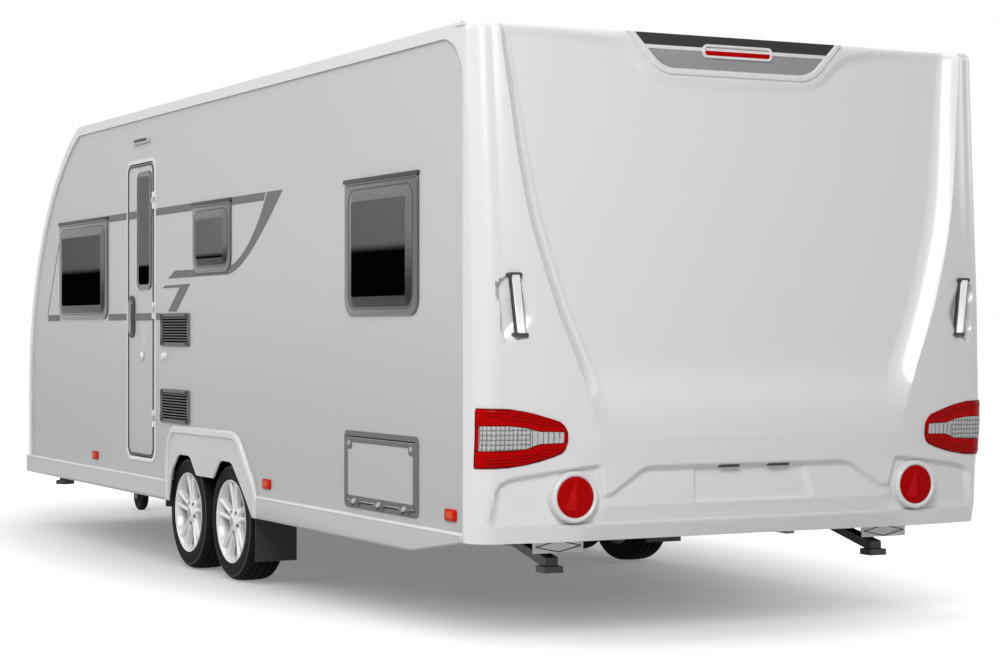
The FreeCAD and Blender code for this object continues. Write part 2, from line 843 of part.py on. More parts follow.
def rear_lamps():
    """Tail lamps that follow the moulding round its corners, and the high-level lamp in the hood."""
    seat = rear_loft("lamp_seat", dims.seat_gap)
    slab = cut("lamp_skin", rear_loft("lamp_outside", dims.lamp_proud), [seat])
    outline = prism("lamp_outline", "YZ", [[(rail_face - distance, z) for distance, z in LAMP_OUTLINE]],
                    stations((-80, 120)))
    tail = common("tail_lamp", [slab, outline])
    high_level = prism("high_level_lamp", "YZ",
                       [rounded((-160, 160), (dims.body_height - 80, dims.body_height - 40), 19)],
                       stations((dims.hood_at - 12, dims.hood_at)))
    return group("rear_lamp_set", [both_sides("tail_lamps", [tail]), high_level])


node("rear_lamps", rear_lamps())


def hood_panels():
    """The dark panel that holds the high-level lamp, and the grey one below it."""
    high = dims.body_height
    across = stations((dims.hood_at - 4, dims.hood_at))
    dark = prism("hood_dark_whole", "YZ", [[
        (-487, high - 4), (-445, high - 51), (445, high - 51), (487, high - 4),
    ]], across)
    lamp_hole = prism("hood_lamp_hole", "YZ", [rounded((-161, 161), (high - 81, high - 39), 20)],
                      stations((dims.hood_at - 14, dims.hood_at + 5)))
    grey = prism("hood_grey_whole", "YZ", [[
        (-430, high - 65), (-348, high - 138), (348, high - 138), (430, high - 65),
    ]], across)
    return group("hood_pair", [cut("hood_dark", dark, [lamp_hole]), cut("hood_grey", grey, [lamp_hole])])


node("hood_panels", hood_panels())

# columns: name, distance ahead of the rear datum
SIDE_MARKERS = [("front", dims.body_length - 1411), ("middle", 2269), ("rear", 277)]


def marker_lamps():
    """Side markers, the round rear reflectors, the front markers and the lamp over the door."""
    pieces = [
        box("marker_" + name, stations(about(place, 38)), (skin, skin + 12), (492, 532))
        for name, place in SIDE_MARKERS
    ]
    whole = rod("reflector_whole", "x", reflector_place, dims.reflector_ring - 20, stations((-44, 0)))
    pieces.append(cut("reflector", whole, [rear_loft("reflector_seat", dims.seat_gap)]))
    front_reach = front_x(panel_inset), front_x(-12)
    pieces.append(box("front_marker", front_reach, about(widest - 225, 35), (462, 492)))
    awning = prism("awning_lamp", "XZ", [rounded(stations((4003, 4287)), (2248, 2288), 18)],
                   (skin, skin + 15))
    return group("lamp_set", [both_sides("marker_pairs", pieces), awning])


node("marker_lamps", marker_lamps())


def grab_handles():
    """A flat bar on two feet, on each post; the feet end on the moulding."""
    bar = prism("grab_bar", "YZ", [[
        (rail_face - distance, z) for distance, z in ((181, 1215), (157, 1215), (123, 1455), (147, 1455))
    ]], stations((-28, -14)))
    feet = [
        box(f"grab_foot_{title}", stations((-20, 60)), about(rail_face - distance, 10), about(z, 12))
        for title, distance, z in (("low", 166, 1232), ("high", 137, 1434))
    ]
    whole = fuse("grab_whole", [bar] + feet)
    seat = rear_loft("grab_seat", dims.seat_gap - dims.handle_pocket)
    return both_sides("grab_pair", [cut("grab_handle", whole, [seat])])


node("grab_handles", grab_handles())


# ---------------------------------------------------------------- windows
def side_window(title, across, up, radius):
    """A window's rim, with a liner through the wall, and its outward-standing acrylic pane."""
    opening = grown(across, -dims.window_rim), grown(up, -dims.window_rim)
    clear = grown(opening[0], -dims.window_liner), grown(opening[1], -dims.window_liner)
    hole = rounded(stations(clear[0]), clear[1], hole_corner - 5)
    face_y = skin + dims.window_rim_proud
    face = prism(title + "_face", "XZ", [rounded(stations(across), up, radius), hole], (skin, face_y))
    liner = prism(title + "_liner", "XZ", [rounded(stations(opening[0]), opening[1], hole_corner), hole],
                  (inside, skin))
    border_y = widest - dims.pane_step
    outside, border = (
        prism(f"{title}_pane_{part}", "XZ",
              [rounded(stations(grown(across, -inset)), grown(up, -inset), radius)], depth)
        for part, inset, depth in (
            ("outside", dims.pane_inset, (face_y, border_y)),
            ("middle", dims.pane_border, (border_y - 1, widest)),
        )
    )
    outside = softened(title + "_pane_border", outside, dims.pane_edge, lies_at_y(border_y))
    return fuse(title + "_rim", [face, liner]), fuse(title + "_pane", [outside, border])


def windows():
    rims, panes = [], []
    for hand, rows in (("left", LEFT_WINDOWS), ("right", RIGHT_WINDOWS)):
        for name, across, up, radius in rows:
            rim, pane = side_window(f"{hand}_{name}", across, up, radius)
            if hand == "right":
                rim, pane = mirrored(rim.Name + "_placed", rim), mirrored(pane.Name + "_placed", pane)
            rims.append(rim)
            panes.append(pane)
    for name, up, across in FRONT_WINDOWS:
        ring_inset = panel_inset - dims.seat_gap - dims.window_rim_proud
        ring = nose_band("front_ring_" + name, ring_inset, dims.window_rim_proud, up, across)
        opening = box("front_opening_" + name, (front_x(900), front_x(-10)),
                      grown(across, -dims.window_rim - 10), grown(up, -dims.window_rim - 10))
        rims.append(cut("front_rim_" + name, ring, [opening]))
        panes.append(nose_band("front_pane_" + name, ring_inset - dims.seat_gap - dims.front_pane,
                               dims.front_pane, grown(up, -dims.pane_inset), grown(across, -dims.pane_inset)))
    return rims, panes


rims, panes = windows()
node("window_frames", group("rims", rims))
node("window_panes", group("panes", panes))

# ---------------------------------------------------------------- entrance door
hinge_x = station(door_hole_across[0] + 2)
hinge_y = skin + dims.frame_proud + dims.hinge_radius + 1
leaf_across = grown(door_hole_across, -dims.leaf_gap)
leaf_up = grown(door_hole_up, -dims.leaf_gap)
leaf_face = skin + dims.leaf_proud
door_window_loop = rounded(stations((3985, 4211)), (1460, 2088), 12)
door_fixed_knuckles, door_knuckles = hinge_knuckles(
    "door_hinge", "z", (hinge_x, hinge_y), [760, 1340, 1930],
    ((hinge_x - 12, hinge_x), (skin, hinge_y)),
    ((hinge_x, station(leaf_across[0] + 30)), (leaf_face - 1, hinge_y)))


def door_frame():
    """The frame's face, its share of the hinge knuckles, and the retainer knob on the wall."""
    face = prism("door_frame_face", "XZ", [
        rounded(stations(door_across), door_up, dims.door_corner),
        rounded(stations(door_hole_across), door_hole_up, dims.door_corner - dims.door_face),
    ], (skin, skin + dims.frame_proud))
    knob = rod("wall_knob", "y", (station(3764), 1094), dims.knob_radius, (skin, widest))
    return group("door_frame_set", [fuse("door_frame_shape", [face] + door_fixed_knuckles), knob])


def entrance_door():
    """The leaf, with its window hole, hinge knuckles and retainer knob."""
    leaf = prism("door_leaf", "XZ", [
        rounded(stations(leaf_across), leaf_up, dims.door_corner - dims.door_face - dims.leaf_gap),
        door_window_loop,
    ], (leaf_face - dims.leaf_thickness, leaf_face))
    knob = rod("door_knob", "y", (station(4136), 1092), dims.knob_radius, (leaf_face - 1, widest))
    return fuse("door_shape", [leaf, knob] + door_knuckles)


def door_handle():
    block = prism("handle_block", "XZ", [rounded(stations((4283, 4349)), (1194, 1423), 30)],
                  (leaf_face, widest))
    return softened("handle_shape", block, 8, lies_at_y(widest))


node("door_frame", door_frame())
node("entrance_door", entrance_door())
node("door_window", prism("door_glass", "XZ", [door_window_loop], (leaf_face - 12, leaf_face - 4)))
node("door_handle", door_handle())

# ---------------------------------------------------------------- hatches, vents, covers and rooflights
# covers on the right side: name, (rear edge, front edge), (lower edge, upper edge)
COVERS = [("mains", (2080, 2240), (560, 780)), ("water", (1640, 1800), (560, 720)),
          ("gas", (4700, 4840), (560, 700))]


hatch_leaf_inset = dims.hatch_rim + dims.hatch_gap
hatch_face = skin + dims.frame_proud + 2
hatch_hinge_y = hatch_face + dims.hinge_radius + 0.5
storage_hinge_z = STORAGE_HATCH[1][0] + hatch_leaf_inset - 3
storage_fixed_knuckles, storage_knuckles = hinge_knuckles(
    "storage_hinge", "x", (hatch_hinge_y, storage_hinge_z), [station(place) for place in (700, 958, 1216)],
    ((skin, hatch_hinge_y), (storage_hinge_z - 14, storage_hinge_z)),
    ((hatch_face - 2, hatch_hinge_y), (storage_hinge_z, storage_hinge_z + 16)))
toilet_hinge_x = station(TOILET_HATCH[0][1] - hatch_leaf_inset + 3)
toilet_fixed_knuckles, toilet_knuckles = hinge_knuckles(
    "toilet_hinge", "z", (toilet_hinge_x, hatch_hinge_y), [590, 760],
    ((toilet_hinge_x, toilet_hinge_x + 14), (skin, hatch_hinge_y)),
    ((toilet_hinge_x - 16, toilet_hinge_x), (hatch_face - 2, hatch_hinge_y)))


def hatch_frame(name, hatch, knuckles):
    """A frame of four strips that meet at hairline joints; the knuckles belong to the strip named with them."""
    across, up = hatch
    hole = rounded(stations(grown(across, -dims.hatch_rim)), grown(up, -dims.hatch_rim), hole_corner)
    depth = skin, skin + dims.frame_proud
    face = prism(name + "_face", "XZ", [rounded(stations(across), up, 30), hole], depth)
    side, fixed = knuckles
    middle = (across[0] + across[1]) / 2
    inner_up = grown(up, 0 - dims.hatch_rim - dims.seat_gap)
    reaches = {
        "low": (stations(grown(across, 1)), (up[0] - 1, up[0] + dims.hatch_rim)),
        "high": (stations(grown(across, 1)), (up[1] - dims.hatch_rim, up[1] + 1)),
        "rear": (stations((across[0] - 1, middle)), inner_up),
        "front": (stations((middle, across[1] + 1)), inner_up),
    }
    strips = []
    for title, (ahead, heights) in reaches.items():
        reach = box(f"{name}_{title}_reach", ahead, grown(depth, 1), heights)
        strip = common(f"{name}_{title}", [face, reach])
        strips.append(fuse(f"{name}_{title}_hinged", [strip] + fixed) if title == side else strip)
    return group(name, strips)


def hatch_leaf(name, hatch, knuckles):
    across, up = (grown(pair, -hatch_leaf_inset) for pair in hatch)
    leaf = prism(name + "_panel", "XZ", [rounded(stations(across), up, 16)],
                 (skin - dims.hatch_depth, hatch_face))
    return fuse(name, [leaf] + knuckles)


def right_fittings():
    covers = [
        prism("cover_" + name, "XZ", [rounded(stations(across), up, 20)], (skin, skin + dims.cover_proud))
        for name, across, up in COVERS
    ]
    frame = hatch_frame("toilet_frame", TOILET_HATCH, ("front", toilet_fixed_knuckles))
    return mirrored("right_fittings", group("right_frames", [frame] + covers))


storage_frame = hatch_frame("storage_frame", STORAGE_HATCH, ("low", storage_fixed_knuckles))
node("hatch_frames", group("hatch_frame_set", [storage_frame, right_fittings()]))
node("storage_hatch", hatch_leaf("storage_leaf", STORAGE_HATCH, storage_knuckles))
toilet_leaf = hatch_leaf("toilet_leaf", TOILET_HATCH, toilet_knuckles)
node("toilet_hatch", mirrored("toilet_leaf_placed", toilet_leaf))

# columns: name, (rear edge, front edge), (lower edge, upper edge)
VENTS = [("upper", (3366, 3818), (1150, 1323)), ("lower", (3361, 3820), (748, 924))]
VENT_RIM = 18
VENT_PROUD = 12
SLAT_PITCH = 14
SLAT = 6
VENT_BARS = 4


def vent(name, across, up):
    """A grille: a rim round a back plate that carries a row of slats."""
    face = skin + VENT_PROUD
    inner = grown(across, -VENT_RIM), grown(up, -VENT_RIM)
    ring = prism(f"vent_{name}_ring", "XZ", [
        rounded(stations(across), up, 10), rounded(stations(inner[0]), inner[1], 4),
    ], (skin, face))
    plate = box(f"vent_{name}_plate", stations(grown(inner[0], 2)), (skin, skin + 3), grown(inner[1], 2))
    pieces = [ring, plate]
    low, high = inner[1]
    for place in range(int((high - low) / SLAT_PITCH)):
        z = low + SLAT_PITCH * (place + 0.5)
        pieces.append(box(f"vent_{name}_slat_{place}", stations(grown(inner[0], 1)), (skin + 2, face - 2),
                          about(z, SLAT / 2)))
    rear, front = inner[0]
    for place in range(1, VENT_BARS + 1):
        middle = rear + (front - rear) * place / (VENT_BARS + 1)
        pieces.append(box(f"vent_{name}_bar_{place}", stations(about(middle, 3)), (skin + 2, face - 1),
                          grown(inner[1], 1)))
    return fuse("vent_" + name, pieces)


node("fridge_vents", group("vent_pair", [vent(*row) for row in VENTS]))

LIGHT_LAP = 45
LIGHT_HEIGHT = 90


def rooflights():
    domes = []
    for name, middle, length, width in ROOFLIGHTS:
        block = box(f"rooflight_{name}_block", stations(about(middle, length / 2 + LIGHT_LAP)),
                    about(0, width / 2 + LIGHT_LAP), (roof_high, roof_high + LIGHT_HEIGHT))
        domes.append(softened("rooflight_" + name, block, 35,
                              lambda edge: edge.BoundBox.ZMax > number(roof_high) + 1))
    return group("rooflight_set", domes)


node("rooflights", rooflights())


# ---------------------------------------------------------------- wheel boxes and mud flaps
def wheel_box():
    """A box over the two wheels, open below and towards the wall."""
    across = dims.box_rear, dims.box_front
    block = box("wheel_box_block", stations(grown(across, dims.box_wall)),
                (box_inner - dims.box_wall, inside), (floor_high, dims.box_high + dims.box_wall))
    space = box("wheel_box_space", stations(across), (box_inner, skin), (floor_high - 5, dims.box_high))
    return cut("wheel_box", block, [space])


node("wheel_boxes", both_sides("wheel_box_pair", [wheel_box()]))
flap = box("mud_flap", stations((dims.flap_at, dims.flap_at + dims.flap_thickness)),
           (flap_outer - dims.flap_width, flap_outer), (dims.flap_low, dims.floor_low))
node("mud_flaps", both_sides("flap_pair", [flap]))

# ---------------------------------------------------------------- chassis, drawbar and coupling
cross_members = [760, 2000, 4300, frame_rail_front - 120]


def chassis_frame():
    rail = box("frame_rail", stations((dims.frame_rail_rear, frame_rail_front)),
               (frame_rail_y, frame_rail_y + dims.frame_rail_width), (frame_low, dims.floor_low))
    crosses = [
        box(f"frame_cross_{count}", stations((place, place + dims.cross_width)),
            about(0, frame_rail_y + 5), (dims.floor_low - dims.cross_depth, dims.floor_low))
        for count, place in enumerate(cross_members, 1)
    ]
    return fuse("chassis_shape", [rail, mirrored("frame_rail_right", rail)] + crosses)


coupling_nose = dims.body_length + dims.drawbar_reach
ball_at = coupling_nose - dims.coupling_shell
tube_front = ball_at - 115
jockey_x = station(dims.body_length + dims.jockey_lead)


def drawbar():
    """The A-frame, the coupling tube in its head, and the clamp that holds the jockey wheel's tube."""
    rear, front = frame_rail_front, drawbar_front
    member = prism("drawbar_member", "XY", [[
        (station(rear), frame_rail_y),
        (station(front), dims.drawbar_half),
        (station(front), dims.drawbar_half + dims.drawbar_member),
        (station(rear), frame_rail_y + dims.drawbar_member),
    ]], (dims.drawbar_low, dims.floor_low))
    head = box("drawbar_head", stations((front - 120, front + 60)), (-85, 85), about(dims.coupling_z, 45))
    tube = rod("drawbar_tube", "x", (0, dims.coupling_z), dims.coupling_tube,
               stations((front - 100, tube_front)))
    tie = box("drawbar_tie", stations((dims.body_length + 60, dims.body_length + 110)), (-360, 360),
              (dims.drawbar_low + 20, dims.floor_low - 20))
    clamp_up = about(dims.coupling_z, 35)
    bracket = box("clamp_bracket", (jockey_x - 25, jockey_x + 25), (80, dims.jockey_y), clamp_up)
    ring = rod("clamp_ring", "z", (jockey_x, dims.jockey_y), dims.jockey_tube + 12, clamp_up)
    bore = rod("clamp_bore", "z", (jockey_x, dims.jockey_y), dims.jockey_tube + 0.2, grown(clamp_up, 5))
    whole = fuse("drawbar_whole",
                 [member, mirrored("drawbar_member_right", member), head, tube, tie, bracket, ring])
    return cut("drawbar_shape", whole, [bore])


def coupling_head():
    """A ball coupling: its collar slides over the tube's end and its socket opens downwards."""
    z = dims.coupling_z
    neck = rod("coupling_neck", "x", (0, z), 36, stations((tube_front - 20, ball_at)))
    shell = rod("coupling_shell_whole", "z", (station(ball_at), 0), dims.coupling_shell, (z - 40, z + 45))
    collar = rod("coupling_collar", "x", (0, z), 42, stations((tube_front - 60, tube_front + 5)))
    grip = box("coupling_grip", stations((ball_at - 150, ball_at + 10)), (-18, 18), (z + 20, z + 75))
    bore = rod("coupling_bore", "x", (0, z), dims.coupling_tube, stations((tube_front - 65, tube_front)))
    socket = rod("coupling_socket", "z", (station(ball_at), 0), dims.socket_radius, (z - 45, z + 15))
    return cut("coupling_shape", fuse("coupling_whole", [neck, shell, collar, grip]), [bore, socket])


def handbrake_lever():
    """The parking brake's lever, on a block on the drawbar's head."""
    front = drawbar_front
    top = dims.coupling_z + 45
    across = (-60, -35)
    pivot = rod("brake_pivot", "y", (station(front), top + 25), 22, across)
    foot = box("brake_foot", stations(about(front, 40)), across, (top, top + 25))
    lever = prism("brake_lever", "XZ", [[
        (station(front - 12), top + 25), (station(front + 12), top + 25),
        (station(front - 250), top + 215), (station(front - 262), top + 195),
    ]], (-57, -38))
    return fuse("handbrake_shape", [pivot, foot, lever])


node("chassis_frame", chassis_frame())
node("drawbar", drawbar())
node("coupling_head", coupling_head())
node("handbrake_lever", handbrake_lever())


# ---------------------------------------------------------------- axles
def axle_side(name, wheel_x, tube_x):
    """The left end of an axle: its seat, trailing arm, brake back plate and stub."""
    z = wheel_radius
    arm = arm_inner, arm_inner + dims.arm_thickness
    plate_y = wheel_y - dims.drum_inner - 14
    return [
        rod(name + "_arm_root", "y", (tube_x, axle_z), dims.axle_tube, arm),
        rod(name + "_arm_end", "y", (wheel_x, z), 32, arm),
        prism(name + "_arm_web", "XZ", [[
            (wheel_x, z - 30), (tube_x, axle_z - 42), (tube_x, axle_z + 42), (wheel_x, z + 30),
        ]], arm),
        rod(name + "_stub", "y", (wheel_x, z), dims.stub_radius, (arm_inner, wheel_y - 2)),
        rod(name + "_back_plate", "y", (wheel_x, z), dims.drum_radius - 2, (plate_y, plate_y + 8)),
        box(name + "_seat", about(tube_x, 60),
            (frame_rail_y - 20, frame_rail_y + dims.frame_rail_width + 20), (axle_z, frame_low)),
    ]


def axle(name, at):
    """A rubber-sprung axle: a tube across the caravan, with a trailing arm at each end."""
    tube_x = station(at + dims.axle_lead)
    left = fuse(name + "_left", axle_side(name, station(at), tube_x))
    tube = rod(name + "_tube", "y", (tube_x, axle_z), dims.axle_tube, (-arm_inner, arm_inner))
    return fuse(name, [tube, left, mirrored(name + "_right", left)])


axle_rows = [("front_axle", dims.front_axle_at), ("rear_axle", dims.rear_axle_at)]
node("axles", group("axle_pair", [axle(*row) for row in axle_rows]))

# ---------------------------------------------------------------- wheels and tyres
SPOKE_PAIRS = 5
# half of one twin spoke seen from outside: (across, distance from the axle)
SPOKE_OUTLINE = [(3, 52), (19, 50), (40, 190), (22, 191)]


def wheel(name, at):
    """A left wheel: an alloy rim with twin spokes, and the brake drum behind its hub."""
    wall = dims.rim_radius - dims.rim_wall
    bore = dims.stub_radius + dims.running_clearance
    place = station(at), wheel_y, wheel_radius
    barrel = turned(name + "_barrel", [
        (6 - dims.rim_depth, dims.rim_lip), (6 - dims.rim_depth, wall), (dims.rim_depth - 14, wall),
        (dims.rim_depth, dims.rim_lip - 10), (dims.rim_depth, dims.rim_lip),
        (dims.rim_depth - 8, dims.rim_lip),
        (dims.tyre_half, dims.rim_radius), (-dims.tyre_half, dims.rim_radius),
    ], *place)
    hub = turned(name + "_hub", [
        (-dims.drum_inner, bore), (-dims.drum_inner, dims.drum_radius), (-15, dims.drum_radius),
        (-10, dims.hub_radius), (40, dims.hub_radius), (52, dims.hub_radius - 8), (60, dims.hub_radius - 30),
        (60, 0), (0, 0), (0, bore),
    ], *place)
    body = doc.addObject("PartDesign::Body", name + "_spokes")
    pad = body.newObject("PartDesign::Pad", name + "_spoke")
    right_half = list(SPOKE_OUTLINE)
    left_half = [(-across, up) for across, up in reversed(SPOKE_OUTLINE)]
    drawing = sketch(body, "XZ", [right_half, left_half])
    pad.Profile = drawing
    pad.Reversed = True
    bind(pad, "Length", dims.spoke_outer - dims.spoke_inner)
    pattern = body.newObject("PartDesign::PolarPattern", name + "_spoke_ring")
    pattern.Originals = [pad]
    pattern.Axis = (drawing, ["N_Axis"])
    pattern.Angle = 360
    pattern.Occurrences = SPOKE_PAIRS
    body.Tip = pattern
    put(body, place[0], wheel_y + dims.spoke_inner, place[2])
    return fuse(name, [barrel, hub, body])


# places of the grooves round a tyre, from its middle, their half width and their depth
TREAD_GROOVES = [45, 15, -15, -45]
GROOVE_HALF = 4.5
GROOVE_DEPTH = 7


def tyre(name, at):
    half, radius = dims.tyre_half, wheel_radius
    bead = dims.rim_radius + dims.seat_gap
    shoulder_r = radius - dims.tyre_shoulder
    chord = (shoulder_r - bead) / 2
    bulge = dims.tyre_bulge
    side_arc = (chord * chord + bulge * bulge) / (2 * bulge)
    tread = half - 14
    grooves = []
    for middle in TREAD_GROOVES:
        grooves += [(middle + GROOVE_HALF, radius), (middle + GROOVE_HALF - 1, radius - GROOVE_DEPTH),
                    (middle - GROOVE_HALF + 1, radius - GROOVE_DEPTH), (middle - GROOVE_HALF, radius)]
    return turned(name, [
        (-half, bead), (half, bead, side_arc), (half, shoulder_r, 26), (tread, radius),
        *grooves, (-tread, radius, 26), (-half, shoulder_r, side_arc),
    ], station(at), wheel_y, radius)


for end, place in (("front", dims.front_axle_at), ("rear", dims.rear_axle_at)):
    left = {"wheel": wheel(f"{end}_rim", place), "tyre": tyre(f"{end}_rubber", place)}
    for piece, item in left.items():
        node(f"{end}_left_{piece}", item)
        node(f"{end}_right_{piece}", mirrored(f"{end}_{piece}_right", item))

# ---------------------------------------------------------------- jockey wheel
jockey_axle = jockey_x - dims.jockey_trail
fork_inner = dims.jockey_width / 2 + 6
crown_low = dims.jockey_radius * 2 + 12
crown = 10
jockey_centre = jockey_x, dims.jockey_y


def jockey_post():
    """The clamped outer tube, with the winding handle on top."""
    high = dims.jockey_high
    stem_bore = dims.jockey_stem + dims.running_clearance
    tube = rod("jockey_outer", "z", jockey_centre, dims.jockey_tube, (crown_low + 2 * crown, high - 15))
    cap = rod("jockey_cap", "z", jockey_centre, dims.jockey_tube + 4, (high - 35, high))
    axle_end = rod("crank_post", "z", jockey_centre, 8, (high - 5, high + 22))
    arm = rod("crank_arm", "x", (dims.jockey_y, high + 15), 7, (jockey_x - 10, jockey_x + 130))
    knob = rod("crank_knob", "z", (jockey_x + 125, dims.jockey_y), 13, (high + 10, high + 85))
    bore = rod("jockey_outer_bore", "z", jockey_centre, stem_bore, (crown_low, dims.coupling_z + 15))
    return cut("jockey_post_shape", fuse("jockey_post_whole", [tube, cap, axle_end, arm, knob]), [bore])


def jockey_fork():
    """The inner stem with the fork's crown and cheeks, and the pin that the wheel turns on."""
    stem = rod("jockey_inner", "z", jockey_centre, dims.jockey_stem,
               (crown_low + crown / 2, dims.coupling_z + 10))
    front = jockey_x + 28
    top = box("jockey_crown", (jockey_axle - 28, front), about(dims.jockey_y, fork_inner + dims.cheek),
              (crown_low, crown_low + crown))
    cheek_loop = [
        (jockey_axle - 18, dims.jockey_radius - 18), (jockey_axle + 18, dims.jockey_radius - 18),
        (front, crown_low), (front, crown_low + crown),
        (jockey_axle - 28, crown_low + crown), (jockey_axle - 28, crown_low),
    ]
    cheeks = [
        prism("jockey_cheek_" + title, "XZ", [cheek_loop], (low, low + dims.cheek))
        for title, low in (("left", dims.jockey_y + fork_inner),
                           ("right", dims.jockey_y - fork_inner - dims.cheek))
    ]
    pin = rod("jockey_axle_pin", "y", (jockey_axle, dims.jockey_radius), dims.jockey_pin,
              about(dims.jockey_y, fork_inner + dims.cheek + 4))
    return fuse("jockey_fork_shape", [stem, top, pin] + cheeks)


def jockey_wheel():
    half, radius = dims.jockey_width / 2, dims.jockey_radius
    bore = dims.jockey_pin + dims.running_clearance
    return turned("jockey_wheel_shape", [
        (-half - 4, bore), (half + 4, bore), (half + 4, 22), (half, 28), (half - 8, radius - 40),
        (half, radius - 28), (half, radius - 12), (half - 10, radius), (10 - half, radius),
        (-half, radius - 12), (-half, radius - 28), (8 - half, radius - 40), (-half, 28), (-half - 4, 22),
    ], jockey_axle, dims.jockey_y, radius)


node("jockey_post", jockey_post())
node("jockey_fork", jockey_fork())
node("jockey_wheel", jockey_wheel())


# ---------------------------------------------------------------- corner steadies
def steady_parts(name):
    """A steady drawn about its pivot, with its leg pointing along +X: the leg and the fixed bracket."""
    half = dims.steady_width / 2
    reach, drop = dims.steady_reach, dims.steady_drop
    plate = 4
    loop = [(-16, 14), (-16, -14), (reach - 30, 26 - drop), (reach + 10, 26 - drop), (reach + 10, 60 - drop)]
    channel = prism(name + "_channel", "XZ", [loop], (-half, half))
    hollow = prism(name + "_hollow", "XZ", [[
        (20, 30), (20, -10), (reach - 30, 34 - drop), (reach - 30, 100),
    ]], (plate - half, half - plate))
    foot = box(name + "_foot", about(reach - 10, 38), about(0, half + 14), (-drop, 26 - drop))
    pin = rod(name + "_pin", "y", (0, 0), dims.steady_pin, about(0, half + 12))
    leg = fuse(name + "_leg_shape", [cut(name + "_leg_web", channel, [hollow]), foot, pin])
    top = dims.floor_low - dims.steady_pivot_z
    ears = [
        box(f"{name}_ear_{title}", about(0, 24), (low, low + 6), (-20, top))
        for title, low in (("inner", -half - 11), ("outer", half + 5))
    ]
    base = box(name + "_base", (-24, reach + 60), about(0, half + 11), (top - 6, top))
    end_bar = box(name + "_end_bar", (reach + 56, reach + 60), about(0, 113), (top - 62, top))
    bore = rod(name + "_bore", "y", (0, 0), dims.steady_pin + 0.3, about(0, 80))
    bracket = cut(name + "_bracket_shape", fuse(name + "_bracket_whole", ears + [base, end_bar]), [bore])
    return leg, bracket


def set_steady(name, item, at, y, turn):
    """Turns a steady's piece about the upright through its pivot and carries it to its place."""
    carried = group(name, [item])
    carried.Placement = Placement(Vector(), Rotation(Vector(0, 0, 1), turn))
    return put(carried, station(at), y, dims.steady_pivot_z)


def steadies():
    # columns: name, pivot's distance ahead of the rear datum, pivot's y, direction of the leg from +X
    rows = [
        ("rear", dims.rear_steady_at, widest - dims.rear_steady_inset, 180),
        ("front", dims.body_length - dims.front_steady_back, widest - dims.front_steady_inset,
         number(dims.front_steady_turn)),
    ]
    brackets = []
    for name, at, y, turn in rows:
        leg, bracket = steady_parts(name + "_steady")
        left = set_steady(f"{name}_steady_left", leg, at, y, turn)
        node(f"{name}_left_steady", left)
        node(f"{name}_right_steady", mirrored(f"{name}_steady_right", left))
        brackets.append(set_steady(f"{name}_bracket_left", bracket, at, y, turn))
    return both_sides("steady_bracket_set", brackets)


node("steady_mounts", steadies())

# ---------------------------------------------------------------- inside
BENCH_HEIGHT = 380
BED_HEIGHT = 385
bench_across = dims.body_length - 1640, dims.body_length - dims.locker_depth - 30
bench_depth = 680
bed_across = (175, 2100)
bed_depth = 760


def carcass(name, across, y, high):
    """A bench or a bed: a top board on a front board and two end boards, against the wall on the left."""
    board = dims.board
    under = floor_high + dims.seat_gap, high - board - dims.seat_gap
    behind = y[0] + board + dims.seat_gap, y[1]
    return [
        box(name + "_top", stations(across), y, (high - board, high)),
        box(name + "_front", stations(across), (y[0], y[0] + board), under),
        box(name + "_rear_end", stations((across[0], across[0] + board)), behind, under),
        box(name + "_front_end", stations((across[1] - board, across[1])), behind, under),
    ]


def toilet_bay():
    """Boards round the space behind the toilet hatch."""
    board, clear = dims.board, dims.seat_gap
    across = grown(TOILET_HATCH[0], 20)
    high = TOILET_HATCH[1][1] + 20
    y = -inside + 1, -850
    up = floor_high + clear, high - clear
    inner = y[1] - board, y[1]
    beside = y[0], inner[0] - clear
    return [
        box("bay_top", stations(grown(across, board)), y, (high, high + board)),
        box("bay_inner", stations(grown(across, board)), inner, up),
        box("bay_rear_end", stations((across[0] - board, across[0])), beside, up),
        box("bay_front_end", stations((across[1], across[1] + board)), beside, up),
    ]


def furniture():
    """What shows through the windows: benches, bed, kitchen, washroom walls, and the lockers' linings."""
    board = dims.board
    against = inside - 1
    bench = carcass("bench", bench_across, (inside - bench_depth, against), floor_high + BENCH_HEIGHT)
    bed = carcass("bed", bed_across, (inside - bed_depth, against), floor_high + BED_HEIGHT)
    kitchen = carcass("kitchen", (2400, 3850), (inside - 580, against), 1380)
    inner = panel_inset + dims.wall + 0.5
    bulkhead = front_x(dims.locker_depth)
    shelf = dims.locker_high + 30
    gas_locker = prism("gas_locker_lining", "XZ", [[
        (bulkhead - board, floor_high), (bulkhead, floor_high), (bulkhead, shelf - board),
        (nose_x(inner, shelf - board), shelf - board), (nose_x(inner, shelf), shelf),
        (bulkhead - board, shelf),
    ]], about(0, against))
    washroom = box("washroom_wall", stations((2200, 2225)), (-against, -250), (floor_high, roof_low - 1))
    benches = both_sides("bench_pair", bench)
    return group("furniture_set", [benches, *bed, *kitchen, gas_locker, washroom, *toilet_bay()])


def cushions():
    """Seat and back cushions in front, and the bed's mattress, each a plain block just clear of its board."""
    clear = dims.seat_gap
    wall_side = inside - 4
    seat_top = floor_high + BENCH_HEIGHT + 130
    seat = box("seat_cushion", stations(grown(bench_across, -10)), (inside - bench_depth, wall_side),
               (floor_high + BENCH_HEIGHT + clear, seat_top))
    back = box("back_cushion", stations(grown(bench_across, -30)), (wall_side - 110, wall_side),
               (seat_top + clear, seat_top + 290))
    mattress = box("mattress", stations(grown(bed_across, -10)), (inside - bed_depth + 5, wall_side),
                   (floor_high + BED_HEIGHT + clear, floor_high + BED_HEIGHT + 140))
    return group("cushion_set", [both_sides("seat_cushions", [seat, back]), mattress])


node("furniture", furniture())
node("cushions", cushions())

